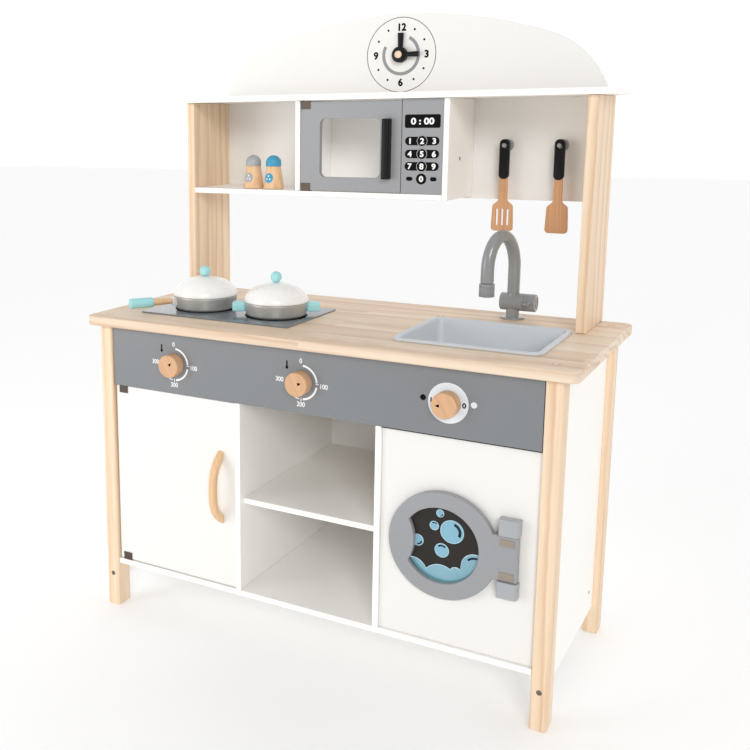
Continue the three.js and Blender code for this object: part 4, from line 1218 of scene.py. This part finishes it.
def make_camera():
    data = bpy.data.cameras.new("camera")
    data.sensor_width = 36
    data.lens = 48.43
    data.shift_x = 0.2074
    data.shift_y = -0.0861
    camera = bpy.data.objects.new("camera", data)
    bpy.context.scene.collection.objects.link(camera)
    eye = (0.6713, front_of("worktop") - 1.2895, 0.83295)
    camera.matrix_world = look_from(eye, azimuth=32.03, elevation=10.57, roll=-0.56)
    bpy.context.scene.camera = camera


SUN_FROM = Vector((0.46, -0.79, 0.40))      # towards the key light
BACKGROUND = Vector((-0.1, 0.94, -0.33))    # the studio is brightest on this side
STUDIO_RANGE = (0.38, 1.12)
FLOOR_GLOW = 0.125


def make_floor():
    """A pale floor that glows a little, like a lit sheet, so that only close shadows show on it."""
    material, tree, shader = blank_material("studio_floor", Roughness=0.7, Emission_Strength=FLOOR_GLOW)
    shader.inputs["Emission Color"].default_value = (1, 1, 1, 1)
    mottle = noise(tree, object_place(tree), 3.0, 3.0)
    pale = blend_colours(tree, mottle, colour("f6f6f6"), colour("f3f3f3"))
    tree.links.new(pale, shader.inputs["Base Color"])
    reach = 14
    mesh = mesh_from([(-reach, -reach, 0), (reach, -reach, 0), (reach, reach, 0), (-reach, reach, 0)],
                     [[0, 1, 2, 3]])
    new_object("studio_floor", mesh, material, None)


def make_world():
    """White surroundings, dimmer overhead and in front than behind the kitchen."""
    world = bpy.data.worlds.new("studio")
    world.use_nodes = True
    tree = world.node_tree
    direction = node(tree, "TexCoord").outputs["Generated"]
    side = node(tree, "VectorMath", {0: direction, 1: BACKGROUND}, operation="DOT_PRODUCT").outputs["Value"]
    dim, bright = STUDIO_RANGE
    ranges = {"Value": side, "From Min": -0.9, "From Max": 0.52, "To Min": dim, "To Max": bright}
    strength = node(tree, "MapRange", ranges).outputs["Result"]
    background = tree.nodes["Background"]
    background.inputs["Color"].default_value = (1, 1, 1, 1)
    tree.links.new(strength, background.inputs["Strength"])
    bpy.context.scene.world = world


def add_lamp(data, place, target):
    lamp = bpy.data.objects.new(data.name, data)
    bpy.context.scene.collection.objects.link(lamp)
    lamp.location = place
    lamp.rotation_euler = (target - place).to_track_quat("-Z", "Y").to_euler()


def light_microwave():
    """A small hidden fill behind the lower rail of the microwave's door, aimed at the back."""
    inside = bpy.data.lights.new("microwave_fill", "AREA")
    inside.shape = "RECTANGLE"
    inside.size = 0.19
    inside.size_y = 0.02
    inside.energy = 0.045
    low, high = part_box("microwave_door")
    place = Vector(((low.x + high.x) / 2, high.y + 0.008, low.z + 0.01))
    add_lamp(inside, place, place + Vector((0, 0.11, 0.075)))


def make_studio():
    make_floor()
    make_world()
    key = bpy.data.lights.new("key", "SUN")
    key.energy = 1.25
    key.angle = math.radians(22)
    add_lamp(key, SUN_FROM, Vector((0, 0, 0)))
    fill = bpy.data.lights.new("fill", "AREA")
    fill.shape = "DISK"
    fill.size = 1.6
    fill.energy = 20
    add_lamp(fill, Vector((-1.9, -2.1, 0.9)), Vector((0, 0, 0.45)))
    light_microwave()
    bpy.context.scene.view_settings.view_transform = "Standard"


make_camera()
make_studio()
make_boards()
make_worktop()
make_controls()
make_bow_handle()
make_washer()
make_microwave()
make_clock()
make_hob()
make_pans()
make_sink()
make_tap()
make_hook("left_hook")
make_hook("right_hook")
make_utensil("slotted_turner", "turner", "left_hook", slots_at=(-8.5, 0, 8.5))
make_utensil("spatula", "flat_spatula", "right_hook", slots_at=())
make_shaker("grey_shaker", "grey_pot", CAP_GREY)
make_shaker("blue_shaker", "blue_pot", CAP_BLUE)
make_fasteners()
make_joint_lines()


def corners(box):
    return [[float(v) for v in corner] for corner in box]
